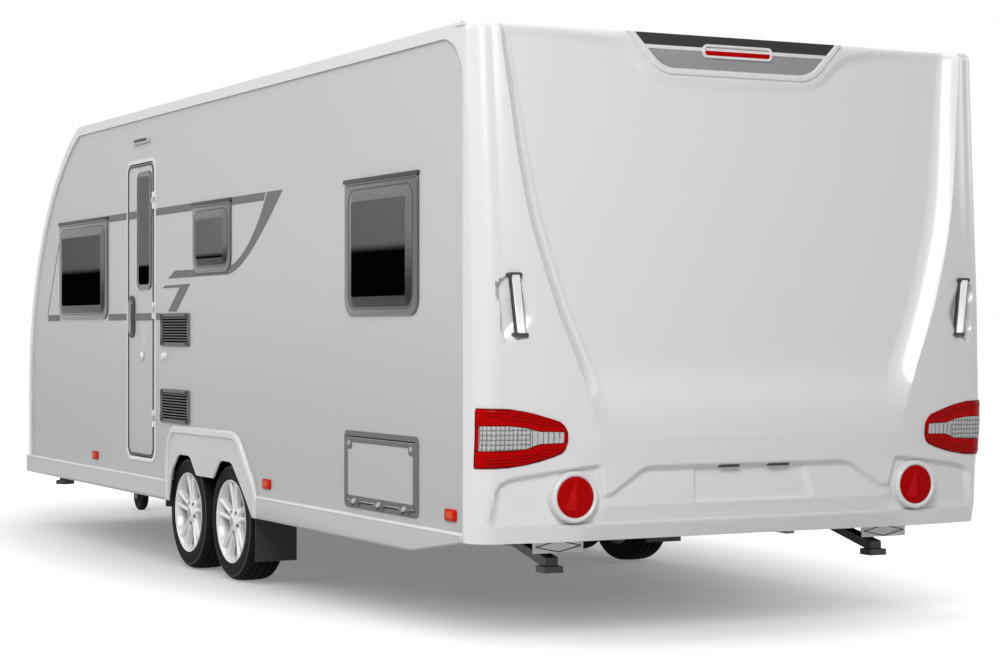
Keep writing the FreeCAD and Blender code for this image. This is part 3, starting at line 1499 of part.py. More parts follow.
# ---------------------------------------------------------------- check and write
doc.recompute()
for item in doc.Objects:
    if "Invalid" in item.State or "Error" in item.State:
        raise RuntimeError(f"{item.Name} did not compute: {item.State}")
for item in nodes:
    if item.Shape.isNull() or not item.Shape.isValid():
        raise RuntimeError(f"{item.Label} has no valid shape")
os.makedirs("parts", exist_ok=True)
for item in nodes:
    item.Shape.exportStep(f"parts/{item.Label}.step")
    print(item.Label, len(item.Shape.Solids), round(item.Shape.Volume / 1e9, 5))
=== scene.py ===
import json
import math

import bmesh
import bpy
from mathutils import Matrix, Vector

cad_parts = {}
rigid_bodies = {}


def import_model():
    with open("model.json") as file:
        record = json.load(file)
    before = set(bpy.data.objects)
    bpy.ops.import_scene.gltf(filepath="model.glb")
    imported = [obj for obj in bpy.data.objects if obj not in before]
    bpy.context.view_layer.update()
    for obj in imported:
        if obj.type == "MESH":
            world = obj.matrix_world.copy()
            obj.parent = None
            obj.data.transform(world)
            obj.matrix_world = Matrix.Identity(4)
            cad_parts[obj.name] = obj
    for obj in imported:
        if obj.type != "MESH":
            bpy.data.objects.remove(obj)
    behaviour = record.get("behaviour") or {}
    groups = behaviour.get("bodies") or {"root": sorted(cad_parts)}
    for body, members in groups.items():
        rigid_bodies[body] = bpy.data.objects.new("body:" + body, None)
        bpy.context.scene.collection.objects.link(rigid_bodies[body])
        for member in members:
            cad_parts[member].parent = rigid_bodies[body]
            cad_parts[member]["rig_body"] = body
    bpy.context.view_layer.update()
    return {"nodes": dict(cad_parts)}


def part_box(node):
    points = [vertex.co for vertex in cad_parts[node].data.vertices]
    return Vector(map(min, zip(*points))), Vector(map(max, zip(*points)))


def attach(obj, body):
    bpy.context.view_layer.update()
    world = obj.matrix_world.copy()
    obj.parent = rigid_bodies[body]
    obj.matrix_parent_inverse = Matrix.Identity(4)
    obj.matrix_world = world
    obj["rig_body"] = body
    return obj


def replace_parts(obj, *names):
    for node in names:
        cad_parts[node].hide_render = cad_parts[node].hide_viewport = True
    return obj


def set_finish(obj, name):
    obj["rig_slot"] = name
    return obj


# A twin-axle travel caravan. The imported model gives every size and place, and this script adds the finishes
# and the finer forms: the moulded rear, windows, door furniture, wheels, trim and stripes.

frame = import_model()

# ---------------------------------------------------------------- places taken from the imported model
REAR_LOW, REAR_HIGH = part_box("rear_panel")
DATUM = REAR_LOW.x + 0.050                  # the plane between the rear moulding's posts
SKIN = 1.205                                # outer face of the side walls, from the middle
EDGE = REAR_HIGH.y                          # side of the rear moulding
TOP = REAR_HIGH.z
LOW = REAR_LOW.z
WELD = 0.00002                              # points nearer than this are one point
FLAT = math.radians(0.6)                    # triangles that turn less than this are one flat face
CRISP = 35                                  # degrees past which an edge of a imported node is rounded


def at(ahead, across, high):
    """A point given by its distance ahead of the rear datum, its distance to the left and its height."""
    return Vector((DATUM + ahead, across, high))


# ---------------------------------------------------------------- finishes
def finish(name, colour, roughness, metallic=0.0, grain=(60.0, 0.04), relief=(400.0, 0.02), coat=0.0,
           specular=0.5, shade=None, uneven=0.08, sheen=0.0):
    """A surface whose colour and gloss vary a little over it, with a fine relief.

    grain is the size and strength of the colour's variation and relief that of the bump. shade is a second
    colour mixed in low down: painted shade on the walls, and on the acrylic a painted reflection of the dark
    ground: (colour, height where it starts, height where it is full)."""
    material = bpy.data.materials.new(name)
    material.use_nodes = True
    tree = material.node_tree
    nodes, links = tree.nodes, tree.links
    shader = nodes["Principled BSDF"]
    shader.inputs["Metallic"].default_value = metallic
    shader.inputs["Coat Weight"].default_value = coat
    shader.inputs["Coat Roughness"].default_value = 0.04
    shader.inputs["Specular IOR Level"].default_value = specular
    shader.inputs["Sheen Weight"].default_value = sheen
    place = nodes.new("ShaderNodeTexCoord")

    cloud = nodes.new("ShaderNodeTexNoise")
    cloud.inputs["Scale"].default_value = grain[0]
    cloud.inputs["Detail"].default_value = 5
    links.new(place.outputs["Object"], cloud.inputs["Vector"])
    tint = nodes.new("ShaderNodeMix")
    tint.data_type = "RGBA"
    strong = grain[1]
    tint.inputs[6].default_value = (*[max(c * (1 - strong), 0) for c in colour], 1)
    tint.inputs[7].default_value = (*[min(c * (1 + strong), 1) for c in colour], 1)
    links.new(cloud.outputs["Fac"], tint.inputs["Factor"])
    last = tint.outputs[2]
    if shade:
        last = shaded_low(nodes, links, place, last, *shade)
    links.new(last, shader.inputs["Base Color"])

    gloss = nodes.new("ShaderNodeMapRange")
    gloss.inputs["To Min"].default_value = max(roughness * (1 - uneven * 2), 0.01)
    gloss.inputs["To Max"].default_value = min(roughness * (1 + uneven * 2), 1)
    links.new(cloud.outputs["Fac"], gloss.inputs["Value"])
    links.new(gloss.outputs["Result"], shader.inputs["Roughness"])

    fine = nodes.new("ShaderNodeTexNoise")
    fine.inputs["Scale"].default_value = relief[0]
    fine.inputs["Detail"].default_value = 3
    links.new(place.outputs["Object"], fine.inputs["Vector"])
    bump = nodes.new("ShaderNodeBump")
    bump.inputs["Strength"].default_value = relief[1]
    bump.inputs["Distance"].default_value = 0.002
    links.new(fine.outputs["Fac"], bump.inputs["Height"])
    links.new(bump.outputs["Normal"], shader.inputs["Normal"])
    return material


def shaded_low(nodes, links, place, last, colour, start, end):
    """Mixes colour in from none at height start to all of it at height end, lower down."""
    split = nodes.new("ShaderNodeSeparateXYZ")
    links.new(place.outputs["Object"], split.inputs["Vector"])
    ramp = nodes.new("ShaderNodeMapRange")
    ramp.interpolation_type = "SMOOTHSTEP"
    ramp.inputs["From Min"].default_value = end
    ramp.inputs["From Max"].default_value = start
    ramp.inputs["To Min"].default_value = 1
    ramp.inputs["To Max"].default_value = 0
    links.new(split.outputs["Z"], ramp.inputs["Value"])
    # the mix that paints the second colour in low down: painted shade on the walls and a painted reflection
    # on the acrylic
    film = nodes.new("ShaderNodeMix")
    film.data_type = "RGBA"
    film.inputs[7].default_value = (*colour, 1)
    links.new(last, film.inputs[6])
    links.new(ramp.outputs["Result"], film.inputs["Factor"])
    return film.outputs[2]


def srgb(level, *rest):
    """A colour from its sRGB levels out of 255; one level makes a grey."""
    levels = (level, *rest) if rest else (level, level, level)
    return tuple(((c / 255 + 0.055) / 1.055) ** 2.4 if c > 10 else c / 255 / 12.92 for c in levels)


GELCOAT = dict(grain=(3.0, 0.003), relief=(260.0, 0.012), uneven=0.01)
WHITE = finish("white_gelcoat", srgb(221, 219, 219), 0.28, coat=0.25, **GELCOAT)
# the wall skin's colour darkens from 1.66 m down to 0.5 m: painted shade
SILVER = finish("silver_wall_skin", srgb(196, 197, 197), 0.34, grain=(2.0, 0.004), relief=(120.0, 0.02),
                specular=0.22, uneven=0.01, shade=(srgb(178, 179, 180), 1.66, 0.5))
STRIPE = finish("grey_stripe_film", srgb(120, 120, 122), 0.5, specular=0.04, relief=(500.0, 0.01))
FLOOR_BOARD = finish("floor_board", srgb(92, 80, 66), 0.7, grain=(12.0, 0.2))
BLACK = finish("black_plastic", srgb(34), 0.55, relief=(900.0, 0.15))
BLACK_TRIM = finish("gloss_black_trim", srgb(28, 28, 30), 0.18, coat=0.5, grain=(20.0, 0.1))
GREY_TRIM = finish("grey_plastic_trim", srgb(104, 105, 107), 0.4, relief=(900.0, 0.1))
RIM_TRIM = finish("window_rim_trim", srgb(62, 63, 65), 0.3, coat=0.3)
GLASS = finish("tinted_acrylic", srgb(30, 31, 32), 0.06, specular=0.3, grain=(1.5, 0.1), relief=(4.0, 0.03))
CHROME = finish("bright_metal", srgb(225), 0.12, metallic=1.0, relief=(60.0, 0.01))
RED = finish("red_lens", srgb(176, 8, 10), 0.15, coat=0.6, grain=(90.0, 0.15))
ORANGE = finish("orange_lens", srgb(214, 84, 18), 0.35, specular=0.04, grain=(150.0, 0.15))
DOME = finish("smoked_dome", srgb(150, 152, 155), 0.15, coat=0.4)
RUBBER = finish("tyre_rubber", srgb(16), 0.8, grain=(40.0, 0.15), relief=(300.0, 0.25), specular=0.15)
# a lighter rubber for the ring on the rounded outer shoulder: a painted highlight
TYRE_PAINTED_HIGHLIGHT = finish("tyre_shoulder_painted_highlight", srgb(50), 0.6, grain=(40.0, 0.15), relief=(300.0, 0.25),
                     specular=0.2)
GALVANISED = finish("galvanised_steel", srgb(120, 122, 124), 0.45, metallic=0.6, grain=(45.0, 0.3),
                    relief=(200.0, 0.1))
CASTING = finish("cast_coupling", srgb(58, 59, 61), 0.5, metallic=0.4, grain=(80.0, 0.2), relief=(600.0, 0.3))
BLACK_METAL = finish("black_painted_metal", srgb(26), 0.4, grain=(30.0, 0.2))
ALLOY = finish("silver_alloy", srgb(205, 206, 208), 0.25, metallic=0.75, grain=(60.0, 0.04), coat=0.3)
BOARD = finish("furniture_board", srgb(140, 118, 92), 0.5, grain=(8.0, 0.15), relief=(40.0, 0.1))
CLOTH = finish("seat_cloth", srgb(120, 115, 108), 0.9, grain=(300.0, 0.3), relief=(900.0, 0.5), sheen=0.3)

RED_LENS = finish("ribbed_red_lens", srgb(176, 2, 3), 0.3, specular=0.04, grain=(90.0, 0.25),
                  relief=(220.0, 0.25))
LAMP_BAND = finish("clear_lamp_band", srgb(190, 191, 191), 0.3, specular=0.1, grain=(160.0, 0.2),
                   relief=(160.0, 0.6))
REFLEX = finish("red_reflex_lens", srgb(172, 4, 6), 0.35, specular=0.04, grain=(400.0, 0.15),
                relief=(600.0, 0.2))
FACET = finish("red_reflex_facet", srgb(190, 20, 24), 0.35, specular=0.04, grain=(400.0, 0.15))
HOOD_GREY = finish("hood_grey", srgb(141, 143, 144), 0.35, relief=(900.0, 0.05))
ACRYLIC = dict(grain=(1.5, 0.04), relief=(3.0, 0.02))
# The acrylic finishes below paint their reflections into the colour: grey above for the pale surroundings and
# near-black low down for the dark ground, with little specular of their own.
GLASS_FACE = finish("acrylic_face", srgb(97, 98, 98), 0.10, specular=0.0, **ACRYLIC,
                    shade=(srgb(3), 1.605, 1.560))
GLASS_SLOPE = finish("acrylic_slope", srgb(114, 115, 115), 0.12, specular=0.06, **ACRYLIC,
                     shade=(srgb(40), 1.70, 1.36))
GLASS_FACE_HIGH = finish("small_acrylic_face", srgb(110, 111, 111), 0.10, specular=0.0, **ACRYLIC,
                         shade=(srgb(3), 1.625, 1.598))
GLASS_SLOPE_HIGH = finish("small_acrylic_slope", srgb(114, 115, 115), 0.12, specular=0.06, **ACRYLIC,
                          shade=(srgb(14), 1.68, 1.575))
GLASS_FRONT = finish("acrylic_front", srgb(40, 41, 42), 0.08, specular=0.3, grain=(1.5, 0.06),
                     relief=(3.0, 0.02))
DOOR_GLASS = finish("door_acrylic", srgb(110, 111, 111), 0.10, specular=0.0, **ACRYLIC,
                    shade=(srgb(3), 1.595, 1.575))
CLEAR_LENS = finish("clear_lens", srgb(190, 192, 194), 0.15, grain=(200.0, 0.1), relief=(300.0, 0.2))
VENT_GREY = finish("vent_grey", srgb(108, 109, 110), 0.5, specular=0.08, grain=(40.0, 0.08),
                   relief=(900.0, 0.1))
# a near-black plate with no gloss for behind the vent's slats: painted shade in the openings
VENT_SLOT_PAINTED_SHADE = finish("vent_slot_painted_shade", srgb(9, 9, 9), 0.9, specular=0.0, relief=(700.0, 0.05))
# Darker copies of the white gelcoat for the low spats, their rims and the skirts, which get less light:
# painted shade.
SPAT_WHITE_PAINTED_SHADE = finish("spat_gelcoat", srgb(196, 195, 194), 0.35, **GELCOAT)
SKIRT_WHITE_PAINTED_SHADE = finish("skirt_gelcoat", srgb(184, 183, 181), 0.35, **GELCOAT)
SPAT_RIM_PAINTED_SHADE = finish("spat_rim_gelcoat", srgb(208, 207, 206), 0.3, grain=(3.0, 0.006), relief=(260.0, 0.015))
RIM_LIP = finish("polished_rim", srgb(222, 223, 224), 0.25, metallic=0.1, grain=(60.0, 0.02),
                 relief=(500.0, 0.01))
WHEEL_SILVER = finish("wheel_silver", srgb(226, 227, 228), 0.3, grain=(400.0, 0.03), coat=0.2)
DRUM = finish("brake_drum", srgb(108, 109, 111), 0.5, grain=(60.0, 0.08), relief=(300.0, 0.1))
CAP_GREY = finish("hub_cap_grey", srgb(150, 151, 153), 0.3, metallic=0.3, grain=(300.0, 0.05))
HOOD_DARK = finish("hood_dark", srgb(60, 60, 61), 0.3, specular=0.08, grain=(20.0, 0.05))
# a darker grey for the hollows and grooves of the clear band's cells: painted shade
LAMP_CELL_PAINTED_SHADE = finish("lamp_cell_painted_shade", srgb(124, 126, 126), 0.3, specular=0.05, grain=(160.0, 0.2))
RED_EDGE = finish("dark_red_lens_edge", srgb(118, 3, 4), 0.3, specular=0.04, grain=(90.0, 0.2))
STEADY_SILVER = finish("steady_bar_zinc", srgb(206, 207, 207), 0.35, metallic=0.1, grain=(60.0, 0.06))
HATCH_GREY = finish("hatch_frame_grey", srgb(102, 103, 104), 0.45, specular=0.12, relief=(900.0, 0.05))
ORANGE_RIM = finish("red_marker_rim", srgb(192, 22, 6), 0.35, specular=0.04, grain=(150.0, 0.15))

NODE_FINISHES = {
    SILVER: ["left_side_wall", "right_side_wall", "entrance_door", "storage_hatch", "toilet_hatch"],
    WHITE: ["roof", "front_panel", "front_locker_lid", "edge_rails", "wheel_spats", "side_skirts",
            "rear_panel", "door_frame"],
    FLOOR_BOARD: ["floor"],
    RED: ["rear_lamps"],
    BLACK_TRIM: ["hood_panels", "door_handle"],
    ORANGE: ["marker_lamps"],
    CHROME: ["grab_handles"],
    RIM_TRIM: ["window_frames"],
    GLASS: ["window_panes", "door_window"],
    GREY_TRIM: ["hatch_frames", "fridge_vents"],
    DOME: ["rooflights"],
    BLACK: ["wheel_boxes", "mud_flaps"],
    GALVANISED: ["chassis_frame", "drawbar", "axles", "jockey_post", "jockey_fork", "steady_mounts"],
    CASTING: ["coupling_head"],
    BLACK_METAL: ["handbrake_lever", "front_left_steady", "front_right_steady", "rear_left_steady",
                  "rear_right_steady"],
    RUBBER: ["jockey_wheel", "front_left_tyre", "front_right_tyre", "rear_left_tyre", "rear_right_tyre"],
    ALLOY: ["front_left_wheel", "front_right_wheel", "rear_left_wheel", "rear_right_wheel"],
    BOARD: ["furniture"],
    CLOTH: ["cushions"],
}
for surface, titles in NODE_FINISHES.items():
    for title in titles:
        for holder in frame["nodes"][title].material_slots:
            holder.material = surface


# ---------------------------------------------------------------- making pieces
MIRROR = Matrix.Scale(-1, 4, (0, 1, 0))
CORNER_STEPS = 8                            # faces round a rounded corner of an outline


def piece(name, form, surfaces, body="body", sharp=32, slot=None):
    """Turns a bmesh into a smooth-shaded piece, crisp at edges over sharp degrees, that rides on body."""
    bmesh.ops.recalc_face_normals(form, faces=form.faces)
    mesh = bpy.data.meshes.new(name)
    form.to_mesh(mesh)
    form.free()
    for surface in surfaces if isinstance(surfaces, list) else [surfaces]:
        mesh.materials.append(surface)
    mesh.shade_smooth()
    mesh.set_sharp_from_angle(angle=math.radians(sharp))
    thing = bpy.data.objects.new(name, mesh)
    bpy.context.scene.collection.objects.link(thing)
    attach(thing, body)
    if slot:
        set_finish(thing, slot)
    return thing


def mirrored(thing, name):
    """A copy of a left piece of the body on the right."""
    mesh = thing.data.copy()
    mesh.name = name
    mesh.transform(MIRROR)
    mesh.flip_normals()
    other = bpy.data.objects.new(name, mesh)
    bpy.context.scene.collection.objects.link(other)
    for modifier in thing.modifiers:
        twin = other.modifiers.new(modifier.name, modifier.type)
        for key in ("width", "segments", "limit_method", "angle_limit", "thickness", "offset"):
            if hasattr(modifier, key):
                setattr(twin, key, getattr(modifier, key))
    if "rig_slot" in thing:
        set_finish(other, thing["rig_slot"])
    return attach(other, "body")


def side(ahead, high, out):
    """A point of the left side, out from the wall's skin."""
    return at(ahead, SKIN + out, high)


def behind(ahead):
    """Places on an upright plane ahead of the rear datum: (to the left, up, out to the rear)."""
    return lambda across, high, out: at(ahead - out, across, high)


def outlined(corners, place, low):
    """A form with one flat face; a corner is (across, up), or (across, up, how far its rounding reaches)."""
    form = bmesh.new()
    points = [form.verts.new(place(corner[0], corner[1], low)) for corner in corners]
    form.faces.new(points)
    for point, corner in zip(points, corners):
        if len(corner) == 3 and corner[2] > 0:
            bmesh.ops.bevel(form, geom=[point], offset=corner[2], offset_type="OFFSET",
                            segments=CORNER_STEPS, profile=0.5, affect="VERTICES", material=-1)
    return form


def oblong(rear, front, low, high, reach=0.0, head=None):
    """An upright rectangle's corners, rounded by reach; head is for the upper two where they differ."""
    head = reach if head is None else head
    return [(rear, low, reach), (front, low, reach), (front, high, head), (rear, high, head)]


def raise_faces(form, faces, offset):
    """Extrudes faces by offset and returns what ends the new block."""
    made = bmesh.ops.extrude_face_region(form, geom=faces)["geom"]
    bmesh.ops.translate(form, vec=offset, verts=[v for v in made if isinstance(v, bmesh.types.BMVert)])
    return [f for f in made if isinstance(f, bmesh.types.BMFace)]


def soften(form, faces, reach, segments=3):
    """Rounds the outline of a flat end."""
    chosen = set(faces)
    rim = [e for f in faces for e in f.edges if sum(g in chosen for g in e.link_faces) == 1]
    bmesh.ops.bevel(form, geom=list(set(rim)), offset=reach, offset_type="OFFSET", segments=segments,
                    profile=0.5, affect="EDGES", clamp_overlap=True, material=-1)


def slab(name, corners, place, span, surfaces, edge=0.0, width=None, dome=None, segments=3, **more):
    """A plate from one depth to another, with a rounded outer edge.

    width leaves only a ring that wide. dome is (inset, rise, second material) of a raised middle."""
    low, high = span
    form = outlined(corners, place, low)
    if width:
        middle = form.faces[:]
        bmesh.ops.inset_region(form, faces=middle, thickness=width, use_boundary=True, use_even_offset=True)
        bmesh.ops.delete(form, geom=middle, context="FACES")
    rise = place(0, 0, high) - place(0, 0, low)
    ends = raise_faces(form, form.faces[:], rise)
    if edge:
        soften(form, ends, edge, segments)
    if dome:
        inset, height, index = dome
        way = rise.normalized()
        # the outermost face, and of those at one height the largest
        top = max(form.faces, key=lambda f: f.calc_center_median().dot(way) + f.calc_area() * 1e-4)
        bmesh.ops.inset_region(form, faces=[top], thickness=inset, use_even_offset=True)
        bmesh.ops.translate(form, vec=way * height, verts=top.verts)
        top.material_index = index
    return piece(name, form, surfaces, **more)


def turned(name, profile, centre, axis, surfaces, steps=48, **more):
    """A piece turned about an axis: profile holds (distance along the axis, radius)."""
    form = bmesh.new()
    along = Vector(axis)
    start = along.orthogonal().normalized()
    points = [form.verts.new(Vector(centre) + along * reach + start * radius) for reach, radius in profile]
    edges = [form.edges.new(pair) for pair in zip(points, points[1:])]
    bmesh.ops.spin(form, geom=points + edges, cent=centre, axis=along, angle=math.tau, steps=steps,
                   use_merge=True)
    bmesh.ops.remove_doubles(form, verts=form.verts, dist=WELD)
    return piece(name, form, surfaces, **more)


def merged(title):
    """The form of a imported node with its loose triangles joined."""
    form = bmesh.new()
    form.from_mesh(frame["nodes"][title].data)
    bmesh.ops.remove_doubles(form, verts=form.verts, dist=WELD)
    return form


def rounded(thing, width, segments=2, sharp=30):
    """Rounds every edge of a piece that turns more than sharp degrees."""
    rounding = thing.modifiers.new("rounded", "BEVEL")
    rounding.width = width
    rounding.segments = segments
    rounding.limit_method = "ANGLE"
    rounding.angle_limit = math.radians(sharp)
    rounding.use_clamp_overlap = True


def dress(title, width, segments=2, surface=None):
    """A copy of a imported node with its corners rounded, which stands for that node."""
    node = frame["nodes"][title]
    form = merged(title)
    bmesh.ops.dissolve_limit(form, angle_limit=FLAT, verts=form.verts, edges=form.edges)
    mesh = bpy.data.meshes.new(title + "_finished")
    form.to_mesh(mesh)
    form.free()
    mesh.materials.clear()
    mesh.materials.append(surface or node.material_slots[0].material)
    mesh.shade_smooth()
    mesh.set_sharp_from_angle(angle=math.radians(CRISP))
    thing = bpy.data.objects.new(title + "_finished", mesh)
    bpy.context.scene.collection.objects.link(thing)
    rounded(thing, width, segments, CRISP)
    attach(thing, node["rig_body"])
    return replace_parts(thing, title)


# ---------------------------------------------------------------- rear moulding
# Plan sections of the rear: height; the ridge's distance from the middle and ahead of the datum; the same for
# the foot of the flank inside it; how far ahead the corner starts, and the corner's radius.
SECTIONS = [
    (0.412, 0.720, -0.046, 0.610, -0.046, -0.002, 0.100),
    (0.830, 0.720, -0.046, 0.610, -0.046, -0.002, 0.100),
    (0.900, 0.740, -0.049, 0.632, -0.040, -0.003, 0.100),
    (0.950, 0.756, -0.049, 0.650, -0.029, -0.004, 0.100),
    (1.000, 0.774, -0.047, 0.668, -0.010, -0.003, 0.100),
    (1.050, 0.793, -0.045, 0.686, 0.009, -0.002, 0.100),
    (1.110, 0.816, -0.042, 0.708, 0.021, 0.000, 0.100),
    (1.350, 0.913, -0.030, 0.810, 0.036, 0.006, 0.100),
    (1.730, 1.020, 0.000, 0.925, 0.062, 0.028, 0.095),
    (2.281, 1.092, 0.045, 1.015, 0.106, 0.062, 0.085),
    (2.430, 1.106, 0.058, 1.030, 0.118, 0.070, 0.080),
]
CREASE = 0.809                      # height of the crease below the panel
# how far the moulding tucks forward below the crease: (height, distance), in the middle and on the posts
TUCK = [(0.412, 0.058), (0.470, 0.034), (0.481, 0.032), (0.705, 0.016), (0.803, 0.0012), (CREASE, 0.0)]
POST_TUCK = [(0.412, 0.042), (0.481, 0.028), (0.600, 0.019), (0.701, 0.012), (0.830, 0.002), (0.945, 0.0)]
RETURN = 0.150                      # how far ahead the moulding's sides reach
RISE = 2.018                        # height of the moulding over its lower edge
CROWN_START, CROWN_RADIUS = 2.392, 0.040    # where the upper edge starts to round over, and its radius
FLANK_BULGE = 0.10                  # how far the flank bows between corner and ridge, as a share of its lean
HOLLOW_POWER = 1.7                  # how quickly the slope inside the ridge flattens out
BROW_FACE, BROW_SWEEP = 0.091, 0.012    # the brow's face ahead of the datum, and how much more at the sides


def eased(low, high, value):
    """0 below low, 1 above high and a smooth step between them."""
    share = min(max((value - low) / (high - low), 0.0), 1.0)
    return share * share * (3 - 2 * share)


def along_line(rows, value):
    """A straight-line reading of (place, amount) rows, held at both ends."""
    if value <= rows[0][0]:
        return rows[0][1]
    for (a, low), (b, high) in zip(rows, rows[1:]):
        if value <= b:
            return low + (high - low) * (value - a) / (b - a)
    return rows[-1][1]


def flowing(rows, value):
    """A smooth reading of rows whose first column is the place: a list of the other columns."""
    count = max(min(sum(row[0] <= value for row in rows) - 1, len(rows) - 2), 0)
    here, there = rows[count], rows[count + 1]
    before, after = rows[max(count - 1, 0)], rows[min(count + 2, len(rows) - 1)]
    run = there[0] - here[0]
    share = min(max((value - here[0]) / run, 0.0), 1.0)
    amounts = []
    for k in range(1, len(here)):
        start = (there[k] - before[k]) / (there[0] - before[0]) * run
        end = (after[k] - here[k]) / (after[0] - here[0]) * run
        s2, s3 = share * share, share ** 3
        amounts.append(here[k] * (2 * s3 - 3 * s2 + 1) + there[k] * (3 * s2 - 2 * s3)
                       + start * (s3 - 2 * s2 + share) + end * (s3 - s2))
    return amounts


def brow_edge(across):
    """The lower edge of the brow that runs along the top and dips round the hood."""
    rows = [(0.0, 2.228), (0.20, 2.231), (0.328, 2.240), (0.395, 2.256), (0.430, 2.277), (0.488, 2.334),
            (0.535, 2.364), (0.599, 2.384), (0.700, 2.400), (0.801, 2.409), (1.077, 2.415), (1.3, 2.416)]
    return along_line(rows, abs(across))


# hollows seen from behind: corners (to the left, up, width of the slope inside the edge to the next corner)
CHANNEL = [(1.172, 0.478, 0.030), (1.150, 0.603, 0.030), (-1.150, 0.603, 0.030), (-1.172, 0.478, 0.006)]
TRAPEZOID = [(0.735, 0.500, 0.016), (0.735, 0.548, 0.030), (0.504, 0.707, 0.034), (-0.470, 0.707, 0.030),
             (-0.735, 0.548, 0.016), (-0.735, 0.500, 0.006)]
BUMPER = [(0.640, 0.490, 0.008), (1.174, 0.486, 0.034), (1.145, 0.636, 0.030), (1.106, 0.666, 0.026),
          (0.869, 0.703, 0.022), (0.700, 0.716, 0.03)]
PLATE = [(0.270, 0.546, 0.012), (0.268, 0.697, 0.010), (-0.276, 0.697, 0.042), (-0.322, 0.545, 0.016)]
POCKET = [(1.083, 1.464, 0.012), (1.143, 1.412, 0.014), (1.113, 1.182, 0.014), (1.050, 1.192, 0.070),
          (0.945, 1.305, 0.070)]


def inside(corners, across, high, hand=1):
    """0 outside a convex outline, 1 well inside it, with a soft slope along each edge."""
    share = 1.0
    across *= hand
    for (a, b, width), (c, d, _) in zip(corners, corners[1:] + corners[:1]):
        run, rise = c - a, d - b
        gap = ((across - a) * rise - (high - b) * run) / math.hypot(run, rise)
        share *= eased(0, width, gap)
        if share == 0:
            return 0.0
    return share


def turned_inwards(corners):
    """The outline's corners in the order for which its inside gives positive gaps."""
    area = sum(a[0] * b[1] - b[0] * a[1] for a, b in zip(corners, corners[1:] + corners[:1]))
    if area < 0:
        return corners
    widths = [corner[2] for corner in corners]
    flipped = [(corner[0], corner[1]) for corner in reversed(corners)]
    widths = list(reversed(widths[:-1])) + [widths[-1]]
    return [(*place, width) for place, width in zip(flipped, widths)]


CHANNEL, TRAPEZOID, BUMPER, PLATE, POCKET = map(turned_inwards, (CHANNEL, TRAPEZOID, BUMPER, PLATE, POCKET))


def plan_point(high, way, section=None):
    """A point of the moulding's plain surface and the way out of it, in plan.

    way runs from 0 at the side's front edge, 1 where the corner starts to turn, 2 where it ends, 3 at the
    ridge and 4 at the foot to 5 in the middle."""
    ridge_y, ridge_x, foot_y, foot_x, corner_x, radius = section or flowing(SECTIONS, high)
    start_y = EDGE - radius
    middle_tuck = along_line(TUCK, high)
    post_tuck = along_line(POST_TUCK, high)
    if way <= 1:
        turn = corner_x + post_tuck + radius
        return RETURN + (turn - RETURN) * way, EDGE, 0.0, 1.0
    if way <= 2:
        angle = (2 - way) * math.pi / 2
        return (corner_x + post_tuck + radius * (1 - math.cos(angle)), start_y + radius * math.sin(angle),
                -math.cos(angle), math.sin(angle))
    if way <= 3:
        share = way - 2
        y = start_y + (ridge_y - start_y) * share
        x = corner_x + (ridge_x - corner_x) * (share + FLANK_BULGE * math.sin(math.pi * share))
    elif way <= 4:
        share = way - 3
        y = ridge_y + (foot_y - ridge_y) * share
        x = foot_x + (ridge_x - foot_x) * (1 - share) ** HOLLOW_POWER
    else:
        y = foot_y * (5 - way)
        x = foot_x
    blend = eased(ridge_y - 0.03, ridge_y + 0.12, y)
    x += middle_tuck * (1 - blend) + post_tuck * blend
    return x, y, -1.0, 0.0


def rear_point(high, way, hand, proud=0.0, plain=False, section=None):
    """A point of the finished moulding, hand being 1 on the left and -1 on the right."""
    x, y, out_x, out_y = plan_point(high, way, section)
    depth = -proud
    if not plain:
        depth += hollows(x, y, high, hand)
        # 0 below the brow and 1 on it, fading out at the sides
        brow = eased(-0.034, 0.020, high - brow_edge(y)) * eased(1.125, 1.085, y)
        front = BROW_FACE + BROW_SWEEP * eased(0.5, 1.0, y)
        if way > 3 and x > front:
            x += (front - x) * brow
        over = max(high - CROWN_START, 0.0)
        x += CROWN_RADIUS - math.sqrt(max(CROWN_RADIUS ** 2 - over ** 2, 0.0))
    return at(x - out_x * depth, hand * (y - out_y * depth), high)


def hollows(x, y, high, hand):
    """How deep the moulding is sunk at a place, measured into it."""
    depth = 0.0
    if 0.46 < high < 0.74:                  # the bumper: channel, sides round the reflectors, plate recess
        wide = max(inside(TRAPEZOID, y, high, hand), inside(CHANNEL, y, high))
        outer = inside(BUMPER, y, high)
        floor = along_line([(0.478, 0.012), (0.545, -0.008), (0.705, -0.004)], high)
        middle = max(floor - x, 0.004 * eased(0.60, 0.53, high))
        side_depth = 0.024
        blend = eased(0.66, 0.74, y)
        mask = max(wide, outer * eased(0.64, 0.70, y))
        depth = mask * (middle * (1 - blend) + side_depth * blend)
        depth += 0.011 * inside(PLATE, hand * y, high)
    elif 1.1 < high < 1.5:                  # the grab handle's pocket
        shelf = eased(0.955, 1.075, y)
        depth = 0.034 * inside(POCKET, y, high) * shelf
    return depth


def spaced(stops):
    """Places through the stops, each span divided as its row says: (place, number of steps to the next)."""
    places = []
    for (start, count), (end, _) in zip(stops, stops[1:]):
        places += [start + (end - start) * k / count for k in range(count)]
    return places + [stops[-1][0]]


